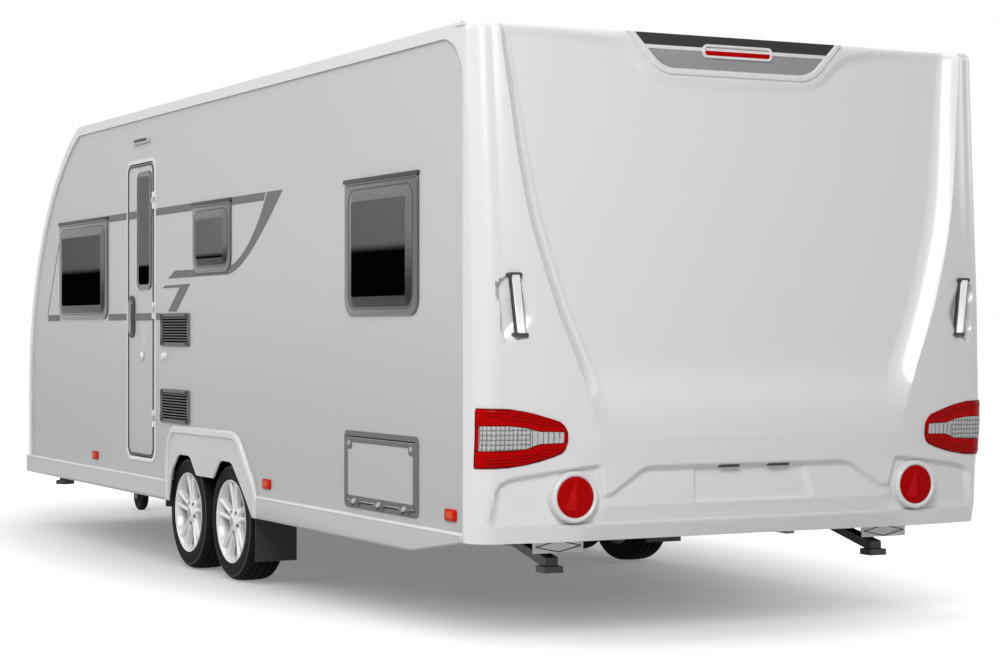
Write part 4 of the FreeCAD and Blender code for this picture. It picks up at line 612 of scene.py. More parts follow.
def rear_moulding():
    """The outer skin as one fine grid, closed at the back by a flat wall inside."""
    heights = spaced([(0.412, 12), (0.466, 12), (0.502, 14), (0.590, 30), (0.720, 14), (0.800, 6),
                      (0.816, 30), (1.100, 12), (1.170, 54), (1.480, 44), (2.200, 44), (CROWN_START, 16),
                      (LOW + RISE, 0)])
    half = spaced([(0, 2), (1, 10), (2, 36), (3, 24), (4, 84), (5, 0)])
    across = [(way, 1) for way in half] + [(way, -1) for way in reversed(half[:-1])]
    form = bmesh.new()
    bmesh.ops.create_grid(form, x_segments=len(across) - 1, y_segments=len(heights) - 1, size=1)
    sections = [flowing(SECTIONS, high) for high in heights]
    for point in form.verts:
        column = round((point.co.x + 1) / 2 * (len(across) - 1))
        row = round((point.co.y + 1) / 2 * (len(heights) - 1))
        way, hand = across[column]
        point.co = rear_point(heights[row], way, hand, section=sections[row])
    rim = [edge for edge in form.edges if edge.is_boundary]
    made = bmesh.ops.extrude_edge_only(form, edges=rim)["geom"]
    back = [point for point in made if isinstance(point, bmesh.types.BMVert)]
    for point in back:
        point.co.x = DATUM + RETURN + 0.005
    loop = [edge for edge in made if isinstance(edge, bmesh.types.BMEdge)]
    wall = bmesh.ops.contextual_create(form, geom=[edge for edge in loop if edge.is_boundary])
    bmesh.ops.triangulate(form, faces=wall["faces"])
    thing = piece("rear_moulding", form, WHITE, sharp=38, slot="white_moulding")
    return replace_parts(thing, "rear_panel")


LENS_START, LENS_TIP = -0.116, 0.2585       # the lens's ends, as distances from the corner's start
ROUND_CELLS = 0.105                         # the clear band's cells are round up to this distance
CELL_PITCH = 22                             # millimetres from one square cell to the next
LENS_PROUD, LENS_CROWN = 0.0035, 0.0035     # how far the lens's edge stands out, and its middle beyond that


def cells(distance, high):
    """The clear band's relief: round cells at the outside and square ones towards the tip."""
    if distance < -0.095 or distance > 0.235:
        return 0.0
    if distance < ROUND_CELLS:
        return 0.0024 * abs(math.sin(distance * math.pi / 0.017) * math.sin(high * math.pi / 0.0185))
    return -0.0015 if (distance * 1000) % CELL_PITCH < 5 else 0.0006


def tail_lamp():
    """A lamp that follows the moulding round its corner: red above and below a clear band."""
    # distance from the corner's start, then the lens's lower edge, the band's edges and the upper edge
    rows = [(LENS_START, 0.703, 0.772, 0.866, 0.936), (-0.05, 0.7035, 0.7725, 0.867, 0.9355),
            (0.02, 0.706, 0.774, 0.866, 0.933), (0.09, 0.716, 0.779, 0.858, 0.922),
            (0.118, 0.722, 0.790, 0.849, 0.916), (0.145, 0.728, 0.7975, 0.8435, 0.909),
            (0.20, 0.744, 0.799, 0.842, 0.893), (0.235, 0.757, 0.800, 0.841, 0.881),
            (0.250, 0.771, 0.802, 0.839, 0.866), (LENS_TIP, 0.795, 0.808, 0.833, 0.845)]
    columns, bands = 168, (16, 20, 16)
    form = bmesh.new()
    bmesh.ops.create_grid(form, x_segments=columns, y_segments=sum(bands), size=1)
    ridge_y, _, _, _, _, radius = flowing(SECTIONS, 0.82)
    reach = EDGE - radius - ridge_y

    def edges_at(distance):
        """The heights of the lens's two edges and the band's two at a distance, from the lowest up."""
        return [along_line([(row[0], row[k]) for row in rows], distance) for k in range(1, 5)]

    for point in form.verts:
        distance = LENS_START + (LENS_TIP - LENS_START) * (point.co.x + 1) / 2
        row = round((point.co.y + 1) / 2 * sum(bands))
        edges = edges_at(distance)
        band = 0
        while band < 2 and row > bands[band]:
            row -= bands[band]
            band += 1
        high = edges[band] + (edges[band + 1] - edges[band]) * row / bands[band]
        way = 2 + distance / reach if distance > 0 else 2 + distance / (radius * math.pi / 2)
        crown = min(high - edges[0], edges[3] - high)
        relief = LENS_CROWN * eased(0, 0.012, crown)
        if band == 1 and 0 < row < bands[1]:
            relief += cells(distance, high)
        elif crown > 0.008:
            relief += 0.0009 * (row % 2)
        point.co = rear_point(high, way, 1, proud=LENS_PROUD + relief, plain=True)
    for face in form.faces:
        place = face.calc_center_median()
        middle = (max(v.co.z for v in face.verts) + min(v.co.z for v in face.verts)) / 2
        distance = EDGE - radius - place.y
        if place.y > EDGE - radius:
            distance = -radius * math.asin(min((place.y - EDGE + radius) / (radius + 0.006), 1))
        below, low, high, above = edges_at(distance)
        rim = min(middle - below, above - middle, LENS_TIP - distance, distance - LENS_START)
        lobe = min(abs(middle - low), abs(middle - high))
        if low < middle < high and -0.1 < distance < 0.241:
            # the cells' grooves and hollows take the darker grey: painted shade
            face.material_index = 3 if distance > ROUND_CELLS and (distance * 1000) % CELL_PITCH < 4 else 1
            if distance < ROUND_CELLS and cells(distance, middle) < 0.00075:
                face.material_index = 3
        else:
            ribbed = distance > -0.07 and 0.016 < lobe and lobe % 0.012 < 0.0035
            face.material_index = 2 if rim < 0.0045 or lobe < 0.004 or ribbed else 0
    outline = [edge for edge in form.edges if edge.is_boundary]
    made = bmesh.ops.extrude_edge_only(form, edges=outline)["geom"]
    for point in made:
        if isinstance(point, bmesh.types.BMVert):
            point.co.x += 0.008
            if point.co.y > EDGE - radius:
                point.co.y -= 0.006
    loop = [e for e in made if isinstance(e, bmesh.types.BMEdge) and e.is_boundary]
    bmesh.ops.contextual_create(form, geom=loop)
    left = piece("tail_lamp_left", form, [RED_LENS, LAMP_BAND, RED_EDGE, LAMP_CELL_PAINTED_SHADE], sharp=24,
                 slot="red_lens")
    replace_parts(left, "rear_lamps")
    mirrored(left, "tail_lamp_right")


def reflectors():
    """Round red reflectors in white rings on the bumper."""
    for title, hand in (("left", 1), ("right", -1)):
        middle = hand * 0.816
        centre = at(-0.014, middle, 0.587)
        turned(f"reflector_ring_{title}", [
            (-0.030, 0.0), (-0.030, 0.102), (0.004, 0.102), (0.012, 0.099), (0.016, 0.094), (0.0165, 0.089),
            (0.014, 0.084), (0.009, 0.081), (0.007, 0.0),
        ], centre, (-1, 0, 0), WHITE, steps=72, slot="white_moulding", sharp=50)
        lens = turned(f"reflector_lens_{title}", [
            (0.002, 0.0), (0.002, 0.0805), (0.0095, 0.0805), (0.012, 0.078), (0.0135, 0.070), (0.0145, 0.0),
        ], centre, (-1, 0, 0), REFLEX, steps=72, slot="marker_lens", sharp=50)
        if hand == 1:
            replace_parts(lens, "marker_lamps")
        # the lens's facet: a wedge with its point up
        slab(f"reflector_facet_{title}", [(middle - 0.001, 0.533), (middle + 0.052, 0.541),
                                          (middle - 0.001, 0.655)],
             behind(-0.0255), (0.0, 0.0032), FACET, slot="marker_lens")


HOOD_PLANE = behind(0.092)                  # the plane that the hood's panels stand on


def hood():
    """The dark panel with the high-level lamp, and the grey one below it, in the brow."""
    dark = slab("hood_dark_panel", [(-0.484, TOP - 0.003, 0.004), (-0.444, TOP - 0.050, 0.006),
                                    (0.444, TOP - 0.050, 0.006), (0.484, TOP - 0.003, 0.004)],
                HOOD_PLANE, (-0.004, 0.0025), HOOD_DARK, edge=0.001, slot="dark_trim")
    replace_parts(dark, "hood_panels")
    slab("hood_grey_panel", [(-0.432, TOP - 0.0645, 0.004), (-0.350, TOP - 0.139, 0.05),
                             (0.350, TOP - 0.139, 0.05), (0.432, TOP - 0.0645, 0.004)],
         HOOD_PLANE, (-0.004, 0.0022), HOOD_GREY, edge=0.001, slot="dark_trim")
    slab("high_level_lamp_rim", oblong(-0.168, 0.168, TOP - 0.092, TOP - 0.036, 0.022), HOOD_PLANE,
         (-0.004, 0.012), WHITE, edge=0.004, width=0.011, slot="white_moulding")
    slab("high_level_lamp_seat", oblong(-0.158, 0.158, TOP - 0.082, TOP - 0.046, 0.012), HOOD_PLANE,
         (-0.004, 0.004), LAMP_BAND, slot="dark_trim")
    slab("high_level_lamp", oblong(-0.156, 0.156, TOP - 0.081, TOP - 0.062, 0.008, head=0.004), HOOD_PLANE,
         (-0.002, 0.009), RED_LENS, edge=0.003, slot="red_lens")


def hood_rim():
    """The raised white rim round the hood's panels, open at the top."""
    outer = [(-0.519, TOP - 0.001, 0.0), (-0.374, TOP - 0.167, 0.065), (0.374, TOP - 0.167, 0.065),
             (0.519, TOP - 0.001, 0.0)]
    inner = [(0.487, TOP - 0.001, 0.0), (0.351, TOP - 0.141, 0.05), (-0.351, TOP - 0.141, 0.05),
             (-0.487, TOP - 0.001, 0.0)]
    slab("hood_rim", outer + inner, HOOD_PLANE, (-0.012, 0.010), WHITE, edge=0.0085, segments=4,
         slot="white_moulding")
    slab("hood_rail", [(-0.448, TOP - 0.0665), (0.448, TOP - 0.0665), (0.456, TOP - 0.052),
                       (-0.456, TOP - 0.052)],
         HOOD_PLANE, (-0.004, 0.006), WHITE, edge=0.002, slot="white_moulding")


def grab_handles_and_lights():
    """A flat bar with dark ends across each pocket, and the two lights over the number plate's place."""
    for title, hand in (("left", 1), ("right", -1)):
        def lean(across, high, out, hand=hand):
            """Places on the plane of the pocket, which leans outwards with height."""
            return at(-0.006 - out, hand * (across + 0.118 * (high - 1.215) + 0.008), high)

        bar = slab(f"grab_bar_{title}", oblong(1.023, 1.058, 1.222, 1.449, 0.006), lean, (0.006, 0.0175),
                   CHROME, edge=0.004, slot="bright_trim")
        if hand == 1:
            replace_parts(bar, "grab_handles")
        slab(f"grab_back_{title}", oblong(1.017, 1.064, 1.216, 1.455, 0.008), lean, (-0.002, 0.0115),
             BLACK_TRIM, edge=0.004, slot="dark_trim")
        for end, low in (("low", 1.206), ("high", 1.437)):
            slab(f"grab_end_{title}_{end}", oblong(1.011, 1.069, low, low + 0.020, 0.010), lean,
                 (-0.026, 0.017), BLACK_TRIM, edge=0.005, slot="dark_trim")
    for title, (low, high) in (("left", (0.059, 0.152)), ("right", (-0.180, -0.082))):
        slab(f"plate_light_{title}", oblong(low, high, 0.684, 0.700, 0.004, head=0.0), behind(0.0),
             (-0.002, 0.022), BLACK, edge=0.003, slot="dark_trim")


rear_moulding()
tail_lamp()
reflectors()
hood()
hood_rim()
grab_handles_and_lights()


# ---------------------------------------------------------------- windows
def right(ahead, high, out):
    """A point of the right side, out from the wall's skin."""
    return at(ahead, -SKIN - out, high)


# rear edge, front edge, lower edge and upper edge of each side window
LEFT_WINDOWS = {"lounge_left": (4.765, 5.744, 1.297, 1.874), "kitchen": (2.752, 3.308, 1.522, 1.876),
                "bedroom": (0.576, 1.326, 1.295, 1.874)}
RIGHT_WINDOWS = {"lounge_right": (4.765, 5.744, 1.297, 1.874), "dining": (3.052, 4.008, 1.297, 1.874),
                 "washroom": (0.789, 1.328, 1.530, 1.876)}
NARROW = 0.7                                # a window narrower than this has smaller borders
# these finishes carry painted reflections of the surroundings and the dark ground
LARGE_PANE, SMALL_PANE = [GLASS_SLOPE, GLASS_FACE], [GLASS_SLOPE_HIGH, GLASS_FACE_HIGH]


def window(title, edges, place, first):
    """A dark plate with a raised acrylic dome in a rubber rim, hung from a rail along its top."""
    rear, front, low, high = edges
    small = front - rear < NARROW
    scale = 0.78 if small else 1.0
    plate = slab(f"window_plate_{title}", oblong(rear, front, low, high, 0.072, head=0.030), place,
                 (0.0, 0.009), RIM_TRIM, edge=0.0045, segments=4, slot="window_rim")
    sides, foot, head = 0.052 * scale, 0.036, 0.046     # widths of the border round the dome
    pane = slab(f"window_dome_{title}", oblong(rear + sides, front - sides, low + foot, high - head, 0.060),
                place, (0.006, 0.0105), SMALL_PANE if small else LARGE_PANE, edge=0.0015,
                dome=(0.044 * scale, 0.0085, 1), slot="tinted_acrylic", sharp=20)
    slab(f"window_rail_{title}", oblong(rear - 0.006, front + 0.006, high - 0.010, high + 0.008, 0.004,
                                        head=0.006),
         place, (0.0, 0.0145), BLACK, edge=0.004, slot="window_rim")
    slab(f"window_seal_{title}", oblong(rear + 0.02, front - 0.02, high - 0.021, high - 0.017), place,
         (0.008, 0.0105), BLACK, slot="window_rim")
    slab(f"window_joint_{title}", oblong(rear + sides - 0.011, front - sides + 0.011, low + foot - 0.009,
                                         high - head + 0.009, 0.066, head=0.064),
         place, (0.006, 0.0098), BLACK, edge=0.0006, width=0.005, slot="window_rim")
    if first:
        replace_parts(plate, "window_frames")
        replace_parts(pane, "window_panes")


SIDE_REACH = 1.1                            # what lies wholly further out than this is a side window's


def front_windows(title, surface, slot):
    """The front panel's three windows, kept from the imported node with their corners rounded."""
    form = merged(title)
    left = set(form.verts)
    while left:
        group, fresh = [], [left.pop()]
        while fresh:
            vert = fresh.pop()
            group.append(vert)
            near = {edge.other_vert(vert) for edge in vert.link_edges} & left
            fresh.extend(near)
            left -= near
        if min(abs(vert.co.y) for vert in group) > SIDE_REACH:
            bmesh.ops.delete(form, geom=group, context="VERTS")
    bmesh.ops.dissolve_limit(form, angle_limit=FLAT, verts=form.verts, edges=form.edges)
    thing = piece("front_" + title, form, surface, sharp=30, slot=slot)
    rounded(thing, 0.002)


for number, (title, edges) in enumerate(LEFT_WINDOWS.items()):
    window(title, edges, side, number == 0)
for title, edges in RIGHT_WINDOWS.items():
    window(title, edges, right, False)
front_windows("window_frames", RIM_TRIM, "window_rim")
front_windows("window_panes", GLASS_FRONT, "tinted_acrylic")


# ---------------------------------------------------------------- stripes
DOOR_FACE = 1.211                           # outer face of the door's leaf, from the middle
FILM = (-0.0005, 0.0008)                    # inner and outer face of a stripe, from the wall's skin
LEAF_REAR, LEAF_FRONT = 3.948, 4.372        # the part of the door's face that the stripes cross
UPPER, LOWER = (1.846, 1.885), (1.288, 1.325)   # lower and upper edge of the two level bands
SWEEP_STEPS = 14                            # straight pieces in each smooth bend


def on_door(ahead, high, out):
    """A point of the shut door's face."""
    return at(ahead, DOOR_FACE + out, high)


def band(title, heights, front, rear_low, rear_high, place=side, body="body"):
    """A level stripe from its front end to its rear end, which may be cut at a slant."""
    low, high = heights
    return slab(title, [(front, low), (rear_low, low), (rear_high, high), (front, high)], place, FILM,
                STRIPE, slot="grey_trim", body=body)


def swept(start, bend, end):
    """Points along one smooth bend from start to end, drawn towards bend."""
    for number in range(SWEEP_STEPS + 1):
        share = number / SWEEP_STEPS
        yield tuple(a * (1 - share) ** 2 + 2 * b * share * (1 - share) + c * share ** 2
                    for a, b, c in zip(start, bend, end))


def curl(title, place):
    """The stripe that sweeps down from the upper band, drawn out to a level tail."""
    inner = list(swept((2.270, 1.885), (2.480, 1.612), (2.760, 1.550)))
    outer = list(swept((2.810, 1.508), (2.570, 1.510), (2.072, 1.885)))
    slab(title, inner + outer, place, FILM, STRIPE, slot="grey_trim")


def stripes():
    """The grey bands along both sides."""
    for title, place in (("left", side), ("right", right)):
        curl(f"stripe_curl_{title}", place)
        band(f"stripe_upper_front_{title}", UPPER, 4.755, 4.420, 4.420, place)
        band(f"stripe_lower_front_{title}", LOWER, 4.765, 4.420, 4.420, place)
        band(f"stripe_lower_nose_{title}", LOWER, 6.010, 5.752, 5.752, place)
        slab(f"stripe_rake_{title}", [(5.752, 1.800), (6.027, 1.325), (6.013, 1.325), (5.752, 1.776)], place,
             FILM, STRIPE, slot="grey_trim")
    band("stripe_upper_door", UPPER, LEAF_FRONT, LEAF_REAR, LEAF_REAR, on_door, "door")
    band("stripe_lower_door", LOWER, LEAF_FRONT, LEAF_REAR, LEAF_REAR, on_door, "door")
    band("stripe_upper_left", UPPER, 3.912, 2.318, 2.290)
    band("stripe_lower_left", LOWER, 3.912, 3.820, 3.836)
    band("stripe_upper_right", UPPER, 4.420, 4.018, 4.018, right)
    band("stripe_upper_rear_right", UPPER, 3.042, 2.318, 2.290, right)
    band("stripe_lower_right", LOWER, 4.420, 4.018, 4.018, right)
    for title, corners in (
        ("tail", [(2.800, 1.540), (3.605, 1.546), (3.718, 1.505), (2.800, 1.508)]),
        ("hook", [(3.762, 1.470), (3.814, 1.456), (3.526, 1.456), (3.718, 1.332), (3.579, 1.331),
                  (3.362, 1.472)]),
    ):
        slab(f"stripe_{title}_left", corners, side, FILM, STRIPE, slot="grey_trim")


stripes()


# ---------------------------------------------------------------- lamps and fittings on the sides
NOSE = 6.411                                # the front panel's foot, ahead of the rear datum
HATCH_FACE = 0.0068                         # how far the hatch's border stands out from the wall's skin


def ahead_of_nose(across, high, out):
    """A point of the front panel's foot."""
    return at(NOSE + out, across, high)


def side_fittings():
    """Side markers, the front markers, the awning lamp and the two knobs that hold the door open."""
    for number, ahead in enumerate((5.009, 2.269, 0.277)):
        lens = slab(f"marker_lens_{number}", oblong(ahead - 0.050, ahead + 0.050, 0.487, 0.534, 0.012), side,
                    (0.0, 0.009), ORANGE_RIM, edge=0.003, slot="marker_lens")
        core = slab(f"marker_core_{number}", oblong(ahead - 0.026, ahead + 0.026, 0.497, 0.524, 0.008), side,
                    (0.007, 0.012), ORANGE, edge=0.003, slot="marker_lens")
        for thing, kind in ((lens, "lens"), (core, "core")):
            mirrored(thing, f"marker_{kind}_right_{number}")
    for title, hand in (("left", 1), ("right", -1)):
        slab(f"front_marker_{title}", oblong(hand - 0.035, hand + 0.035, 0.463, 0.491, 0.010), ahead_of_nose,
             (0.0, 0.018), CLEAR_LENS, edge=0.006, slot="marker_lens")
    slab("awning_lamp", oblong(4.008, 4.288, 2.247, 2.289, 0.020), side, (0.0, 0.013), LAMP_BAND, edge=0.006,
         segments=4, slot="grey_trim")
    slab("awning_lamp_slot", oblong(4.040, 4.256, 2.259, 2.274, 0.007), side, (0.010, 0.0145), BLACK,
         edge=0.001, slot="grey_trim")
    turned("wall_knob", [(0.0, 0.0), (0.0, 0.027), (0.004, 0.0265), (0.007, 0.021), (0.016, 0.019),
                         (0.019, 0.015), (0.0195, 0.0)],
           side(3.764, 1.094, 0.0), (0, 1, 0), WHITE, steps=32, slot="white_moulding")
    turned("door_knob", [(0.0, 0.0), (0.0, 0.027), (0.003, 0.0265), (0.005, 0.021), (0.011, 0.019),
                         (0.013, 0.015), (0.0135, 0.0)],
           on_door(4.136, 1.092, 0.0), (0, 1, 0), WHITE, steps=32, body="door", slot="white_moulding")


def entrance():
    """The door with its dark seal, long window and oval handle."""
    dress("entrance_door", 0.003, 2, SILVER)
    slab("door_seal", oblong(3.945, 4.386, 0.554, 2.133, 0.052), side, (0.001, 0.0080), BLACK, edge=0.0015,
         width=0.0085, body="door", slot="black_plastic")
    # the door's glass carries the same painted reflection
    pane = slab("door_glass", oblong(3.990, 4.206, 1.465, 2.083, 0.040), side, (0.0, 0.0085),
                [RIM_TRIM, DOOR_GLASS], edge=0.002, dome=(0.014, 0.0, 1), body="door", slot="tinted_acrylic")
    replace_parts(pane, "door_window")
    slab("door_glass_rim", oblong(3.978, 4.218, 1.453, 2.095, 0.050), side, (0.002, 0.0105), RIM_TRIM,
         edge=0.003, width=0.015, body="door", slot="window_rim")
    plate = slab("door_handle_plate", oblong(4.262, 4.368, 1.193, 1.423, 0.046), side, (0.003, 0.0125), BLACK,
                 edge=0.004, body="door", slot="black_plastic", segments=4)
    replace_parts(plate, "door_handle")
    slab("door_handle_grip", oblong(4.283, 4.347, 1.215, 1.402, 0.030), side, (0.011, 0.0195), BLACK_TRIM,
         edge=0.0075, body="door", slot="black_plastic", segments=4)


def locker_doors():
    """The storage hatch with its border, lugs and buttons, the toilet hatch and the frames round them."""
    dress("storage_hatch", 0.002, 2, SILVER)
    dress("toilet_hatch", 0.002, 2, SILVER)
    dress("hatch_frames", 0.0012, 2, HATCH_GREY)
    slab("hatch_border", oblong(0.604, 1.313, 0.506, 0.774, 0.012), side, (0.0046, HATCH_FACE + 0.0006),
         HATCH_GREY, edge=0.0012, width=0.020, body="storage_lid", slot="window_rim")
    for number, (rear, front) in enumerate(((0.606, 0.668), (1.249, 1.311))):
        slab(f"hatch_lug_{number}", oblong(rear, front, 0.724, 0.772, 0.014, head=0.004), side,
             (0.0046, HATCH_FACE + 0.0014), HATCH_GREY, edge=0.0016, body="storage_lid", slot="window_rim")
    for number, ahead in enumerate((0.640, 1.277)):
        turned(f"hatch_button_{number}", [(0.0, 0.0), (0.0, 0.013), (0.003, 0.012), (0.0035, 0.009),
                                          (0.0055, 0.008), (0.006, 0.0)],
               side(ahead, 0.750, HATCH_FACE), (0, 1, 0), CAP_GREY, steps=28, body="storage_lid",
               slot="grey_trim")


side_fittings()
entrance()
locker_doors()


SLATS = 9                                   # level slats in each fridge vent


def vent(title, low, high):
    """A rounded frame over a near-black back plate that paints the shade in the slots, with thin level slats.
    """
    rear, front = 3.366, 3.818
    outline = slab(f"vent_frame_{title}", oblong(rear, front, low, high, 0.016), side, (0.0, 0.0115),
                   VENT_GREY, edge=0.004, width=0.020, slot="grey_trim", segments=4)
    # the near-black plate behind the slats: painted shade inside the vent
    slab(f"vent_back_{title}", oblong(rear + 0.01, front - 0.01, low + 0.01, high - 0.01), side,
         (0.0, 0.0022), VENT_SLOT_PAINTED_SHADE, slot="black_plastic")
    margin = 0.022
    pitch = (high - low - 2 * margin) / SLATS
    for number in range(SLATS):
        foot = low + margin + pitch * number
        slab(f"vent_slat_{title}_{number}", oblong(rear + 0.015, front - 0.015, foot + 0.0065, foot + 0.0125),
             side, (0.001, 0.0085), VENT_GREY, edge=0.002, slot="grey_trim")
    return outline


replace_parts(vent("upper", 1.150, 1.323), "fridge_vents")
vent("lower", 0.748, 0.924)
dress("door_frame", 0.0025, 2, WHITE)
# the skirts take the darker white: painted shade
dress("side_skirts", 0.006, 3, SKIRT_WHITE_PAINTED_SHADE)
for title, (rear, front) in {"rear": (0.155, 2.376), "front": (3.722, 6.400)}.items():
    bead = slab(f"skirt_bead_{title}", oblong(rear, front, 0.434, 0.448), side, (0.0, 0.0188), WHITE,
                edge=0.006, segments=4, slot="white_moulding")
    mirrored(bead, f"skirt_bead_right_{title}")
dress("edge_rails", 0.007, 4, WHITE)
# a small cap at each upper rear corner, where the roof's edge rail meets the moulding
mirrored(slab("roof_corner_filler", [(0.135, 2.414), (0.205, 2.414), (0.205, 2.4290), (0.135, 2.4255)], side,
              (-0.012, 0.0160), WHITE, edge=0.003, slot="white_moulding"), "roof_corner_filler_right")


# ---------------------------------------------------------------- wheel spats
SPAT = 3.143                                # the middle of the arch cover, ahead of the rear datum


def spat():
    """A moulded arch cover: a plate with a rolled rim and a tab between the wheels, and an arch liner."""
    outside = [(0.579, 0.338, 0.0), (0.579, 0.610, 0.085), (0.497, 0.738, 0.065), (-0.486, 0.742, 0.085),
               (-0.765, 0.462, 0.090), (-0.753, 0.338, 0.0)]
    arches = [(-0.690, 0.338, 0.0), (-0.583, 0.440, 0.03), (-0.405, 0.588, 0.03), (-0.242, 0.588, 0.03),
              (-0.143, 0.494, 0.012), (0.107, 0.494, 0.012), (0.206, 0.588, 0.03), (0.385, 0.588, 0.03),
              (0.497, 0.490, 0.03), (0.546, 0.338, 0.0)]
    inner = [(-0.712, 0.338, 0.0), (-0.722, 0.448, 0.03), (-0.462, 0.698, 0.03), (0.478, 0.694, 0.03),
             (0.539, 0.598, 0.03), (0.539, 0.338, 0.0)]
    # the spat's plate and rolled rim take darker whites: painted shade
    plate = slab("wheel_spat", [(SPAT + a, z, reach) for a, z, reach in outside + arches], side,
                 (0.0005, 0.010), SPAT_WHITE_PAINTED_SHADE, edge=0.004, slot="white_moulding", segments=4)
    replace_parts(plate, "wheel_spats")
    roll = slab("wheel_spat_rim", [(SPAT + a, z, reach) for a, z, reach in outside + inner], side,
                (0.004, 0.0195), SPAT_RIM_PAINTED_SHADE, edge=0.0148, slot="white_moulding", segments=8)
    crease = slab("wheel_spat_crease", oblong(SPAT - 0.232, SPAT + 0.196, 0.590, 0.598, 0.012, head=0.003),
                  side, (0.008, 0.0115), SPAT_WHITE_PAINTED_SHADE, edge=0.002, slot="white_moulding")
    # an upright plate just ahead of the front tyre
    liner = slab("wheel_arch_liner", oblong(3.758, 3.772, 0.300, 0.600), side, (-0.180, -0.004), BLACK,
                 edge=0.004, segments=2, slot="black_plastic")
    for thing in (plate, roll, crease, liner):
        mirrored(thing, thing.name + "_right")


spat()


# ---------------------------------------------------------------- steadies
DIAMOND = [(0.893, 0.380), (0.790, 0.402), (0.687, 0.380), (0.790, 0.358)]     # its points: across, up


def steady_bars():
    """The rear steadies' zinc end bars, with black lines round their pressed diamonds as painted shade in the
    pressing's creases.
    """
    plane = behind(0.168)
    for title, hand in (("left", 1), ("right", -1)):
        slab(f"steady_plate_{title}", oblong(hand * 0.903, hand * 0.677, 0.354, 0.434), plane,
             (-0.001, 0.0045), STEADY_SILVER, edge=0.0015, slot="galvanised")
        # black lines round each diamond: painted shade in the pressing's creases
        for number, (start, end) in enumerate(zip(DIAMOND, DIAMOND[1:] + DIAMOND[:1])):
            slab(f"steady_line_{title}_{number}", [
                (hand * start[0], start[1] - 0.002), (hand * end[0], end[1] - 0.002),
                (hand * end[0], end[1] + 0.002), (hand * start[0], start[1] + 0.002),
            ], plane, (0.003, 0.0062), BLACK_METAL, slot="black_metal")


steady_bars()


# ---------------------------------------------------------------- wheels and tyres
AXLE_UP, OUTER = 0.2915, 1.185              # height of the axles, and the wheels' outer face from the middle
AXLES = {"front": 3.460, "rear": 2.826}     # ahead of the rear datum
TREAD_STEPS = 180                           # faces round a tyre, one in four of them a shoulder slot
SLOT_DEPTH = 0.004
BLADE_PAIRS = 5


def hub(ahead, out=0.0):
    """The wheel's centre at a distance inside its outer face."""
    return at(ahead, OUTER - out, AXLE_UP)


def rim(title, ahead, body):
    """The alloy wheel: bright lip and barrel, five pairs of ridged blades, a cap and five bolts."""
    centre = hub(ahead)
    turned(f"{title}_barrel", [
        (-0.001, 0.2025), (-0.0015, 0.2045), (-0.006, 0.2055), (-0.013, 0.2045), (-0.020, 0.1945),
        (-0.060, 0.1900), (-0.140, 0.1900), (-0.166, 0.196), (-0.178, 0.2055), (-0.183, 0.2045),
        (-0.182, 0.200), (-0.168, 0.191), (-0.140, 0.1845), (-0.060, 0.1845), (-0.024, 0.1880),
        (-0.010, 0.1955), (-0.003, 0.1985), (-0.001, 0.2025),
    ], centre, (0, 1, 0), RIM_LIP, steps=96, body=body, slot="alloy", sharp=50)
    turned(f"{title}_drum", [(-0.070, 0.0), (-0.070, 0.120), (-0.078, 0.130), (-0.125, 0.132),
                             (-0.125, 0.0)],
           centre, (0, 1, 0), DRUM, steps=48, body=body, slot="alloy", sharp=40)
    form = bmesh.new()
    for k in range(BLADE_PAIRS):
        for hand in (1, -1):
            blade(form, centre, math.tau * k / BLADE_PAIRS, hand)
    face = piece(f"{title}_blades", form, WHEEL_SILVER, body=body, sharp=28, slot="alloy")
    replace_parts(face, f"{title}_wheel")
    rounded(face, 0.0018, sharp=28)
    turned(f"{title}_hub", [
        (-0.006, 0.0), (-0.006, 0.026), (-0.0085, 0.0285), (-0.011, 0.029), (-0.0125, 0.040), (-0.019, 0.056),
        (-0.032, 0.070), (-0.060, 0.074), (-0.060, 0.0),
    ], centre, (0, 1, 0), WHEEL_SILVER, steps=60, body=body, slot="alloy", sharp=40)
    turned(f"{title}_cap", [(-0.0058, 0.0), (-0.0058, 0.0225), (-0.0045, 0.0215), (-0.003, 0.017),
                            (-0.0022, 0.0)],
           centre, (0, 1, 0), CAP_GREY, steps=40, body=body, slot="alloy", sharp=40)
    for k in range(BLADE_PAIRS):
        angle = math.tau * (k + 0.5) / BLADE_PAIRS
        spot = centre + Vector((math.sin(angle), 0, math.cos(angle))) * 0.051
        turned(f"{title}_bolt_{k}", [(-0.030, 0.0), (-0.030, 0.010), (-0.016, 0.010), (-0.014, 0.0085),
                                     (-0.014, 0.0)], spot, (0, 1, 0), DRUM, steps=18, body=body, slot="alloy",
               sharp=30)


def blade(form, centre, turn, hand):
    """One blade of a pair, roof-shaped in section, from the hub to the rim."""
    rows = [  # radius, distance of the middle line from the pair's line, half width, depth of ridge and edges
        (0.040, 0.014, 0.0120, 0.017, 0.028), (0.075, 0.0165, 0.0105, 0.016, 0.028),
        (0.120, 0.0225, 0.0105, 0.013, 0.024), (0.165, 0.0310, 0.0125, 0.009, 0.019),
        (0.190, 0.0375, 0.0150, 0.007, 0.015), (0.199, 0.0400, 0.0165, 0.007, 0.013),
    ]
    outward = Vector((math.sin(turn), 0, math.cos(turn)))
    across = Vector((math.cos(turn), 0, -math.sin(turn))) * hand
    sections = []
    for radius, middle, half, ridge, fall in rows:
        points = []
        for offset, depth in ((-half, fall), (0.0, ridge), (half, fall), (half, 0.048), (-half, 0.048)):
            points.append(form.verts.new(centre + outward * radius + across * (middle + offset)
                                         - Vector((0, depth, 0))))
        sections.append([form.edges.new(pair) for pair in zip(points, points[1:] + points[:1])])
        if len(sections) == 1 or radius == rows[-1][0]:
            form.faces.new(points)
    for here, there in zip(sections, sections[1:]):
        bmesh.ops.bridge_loops(form, edges=here + there)


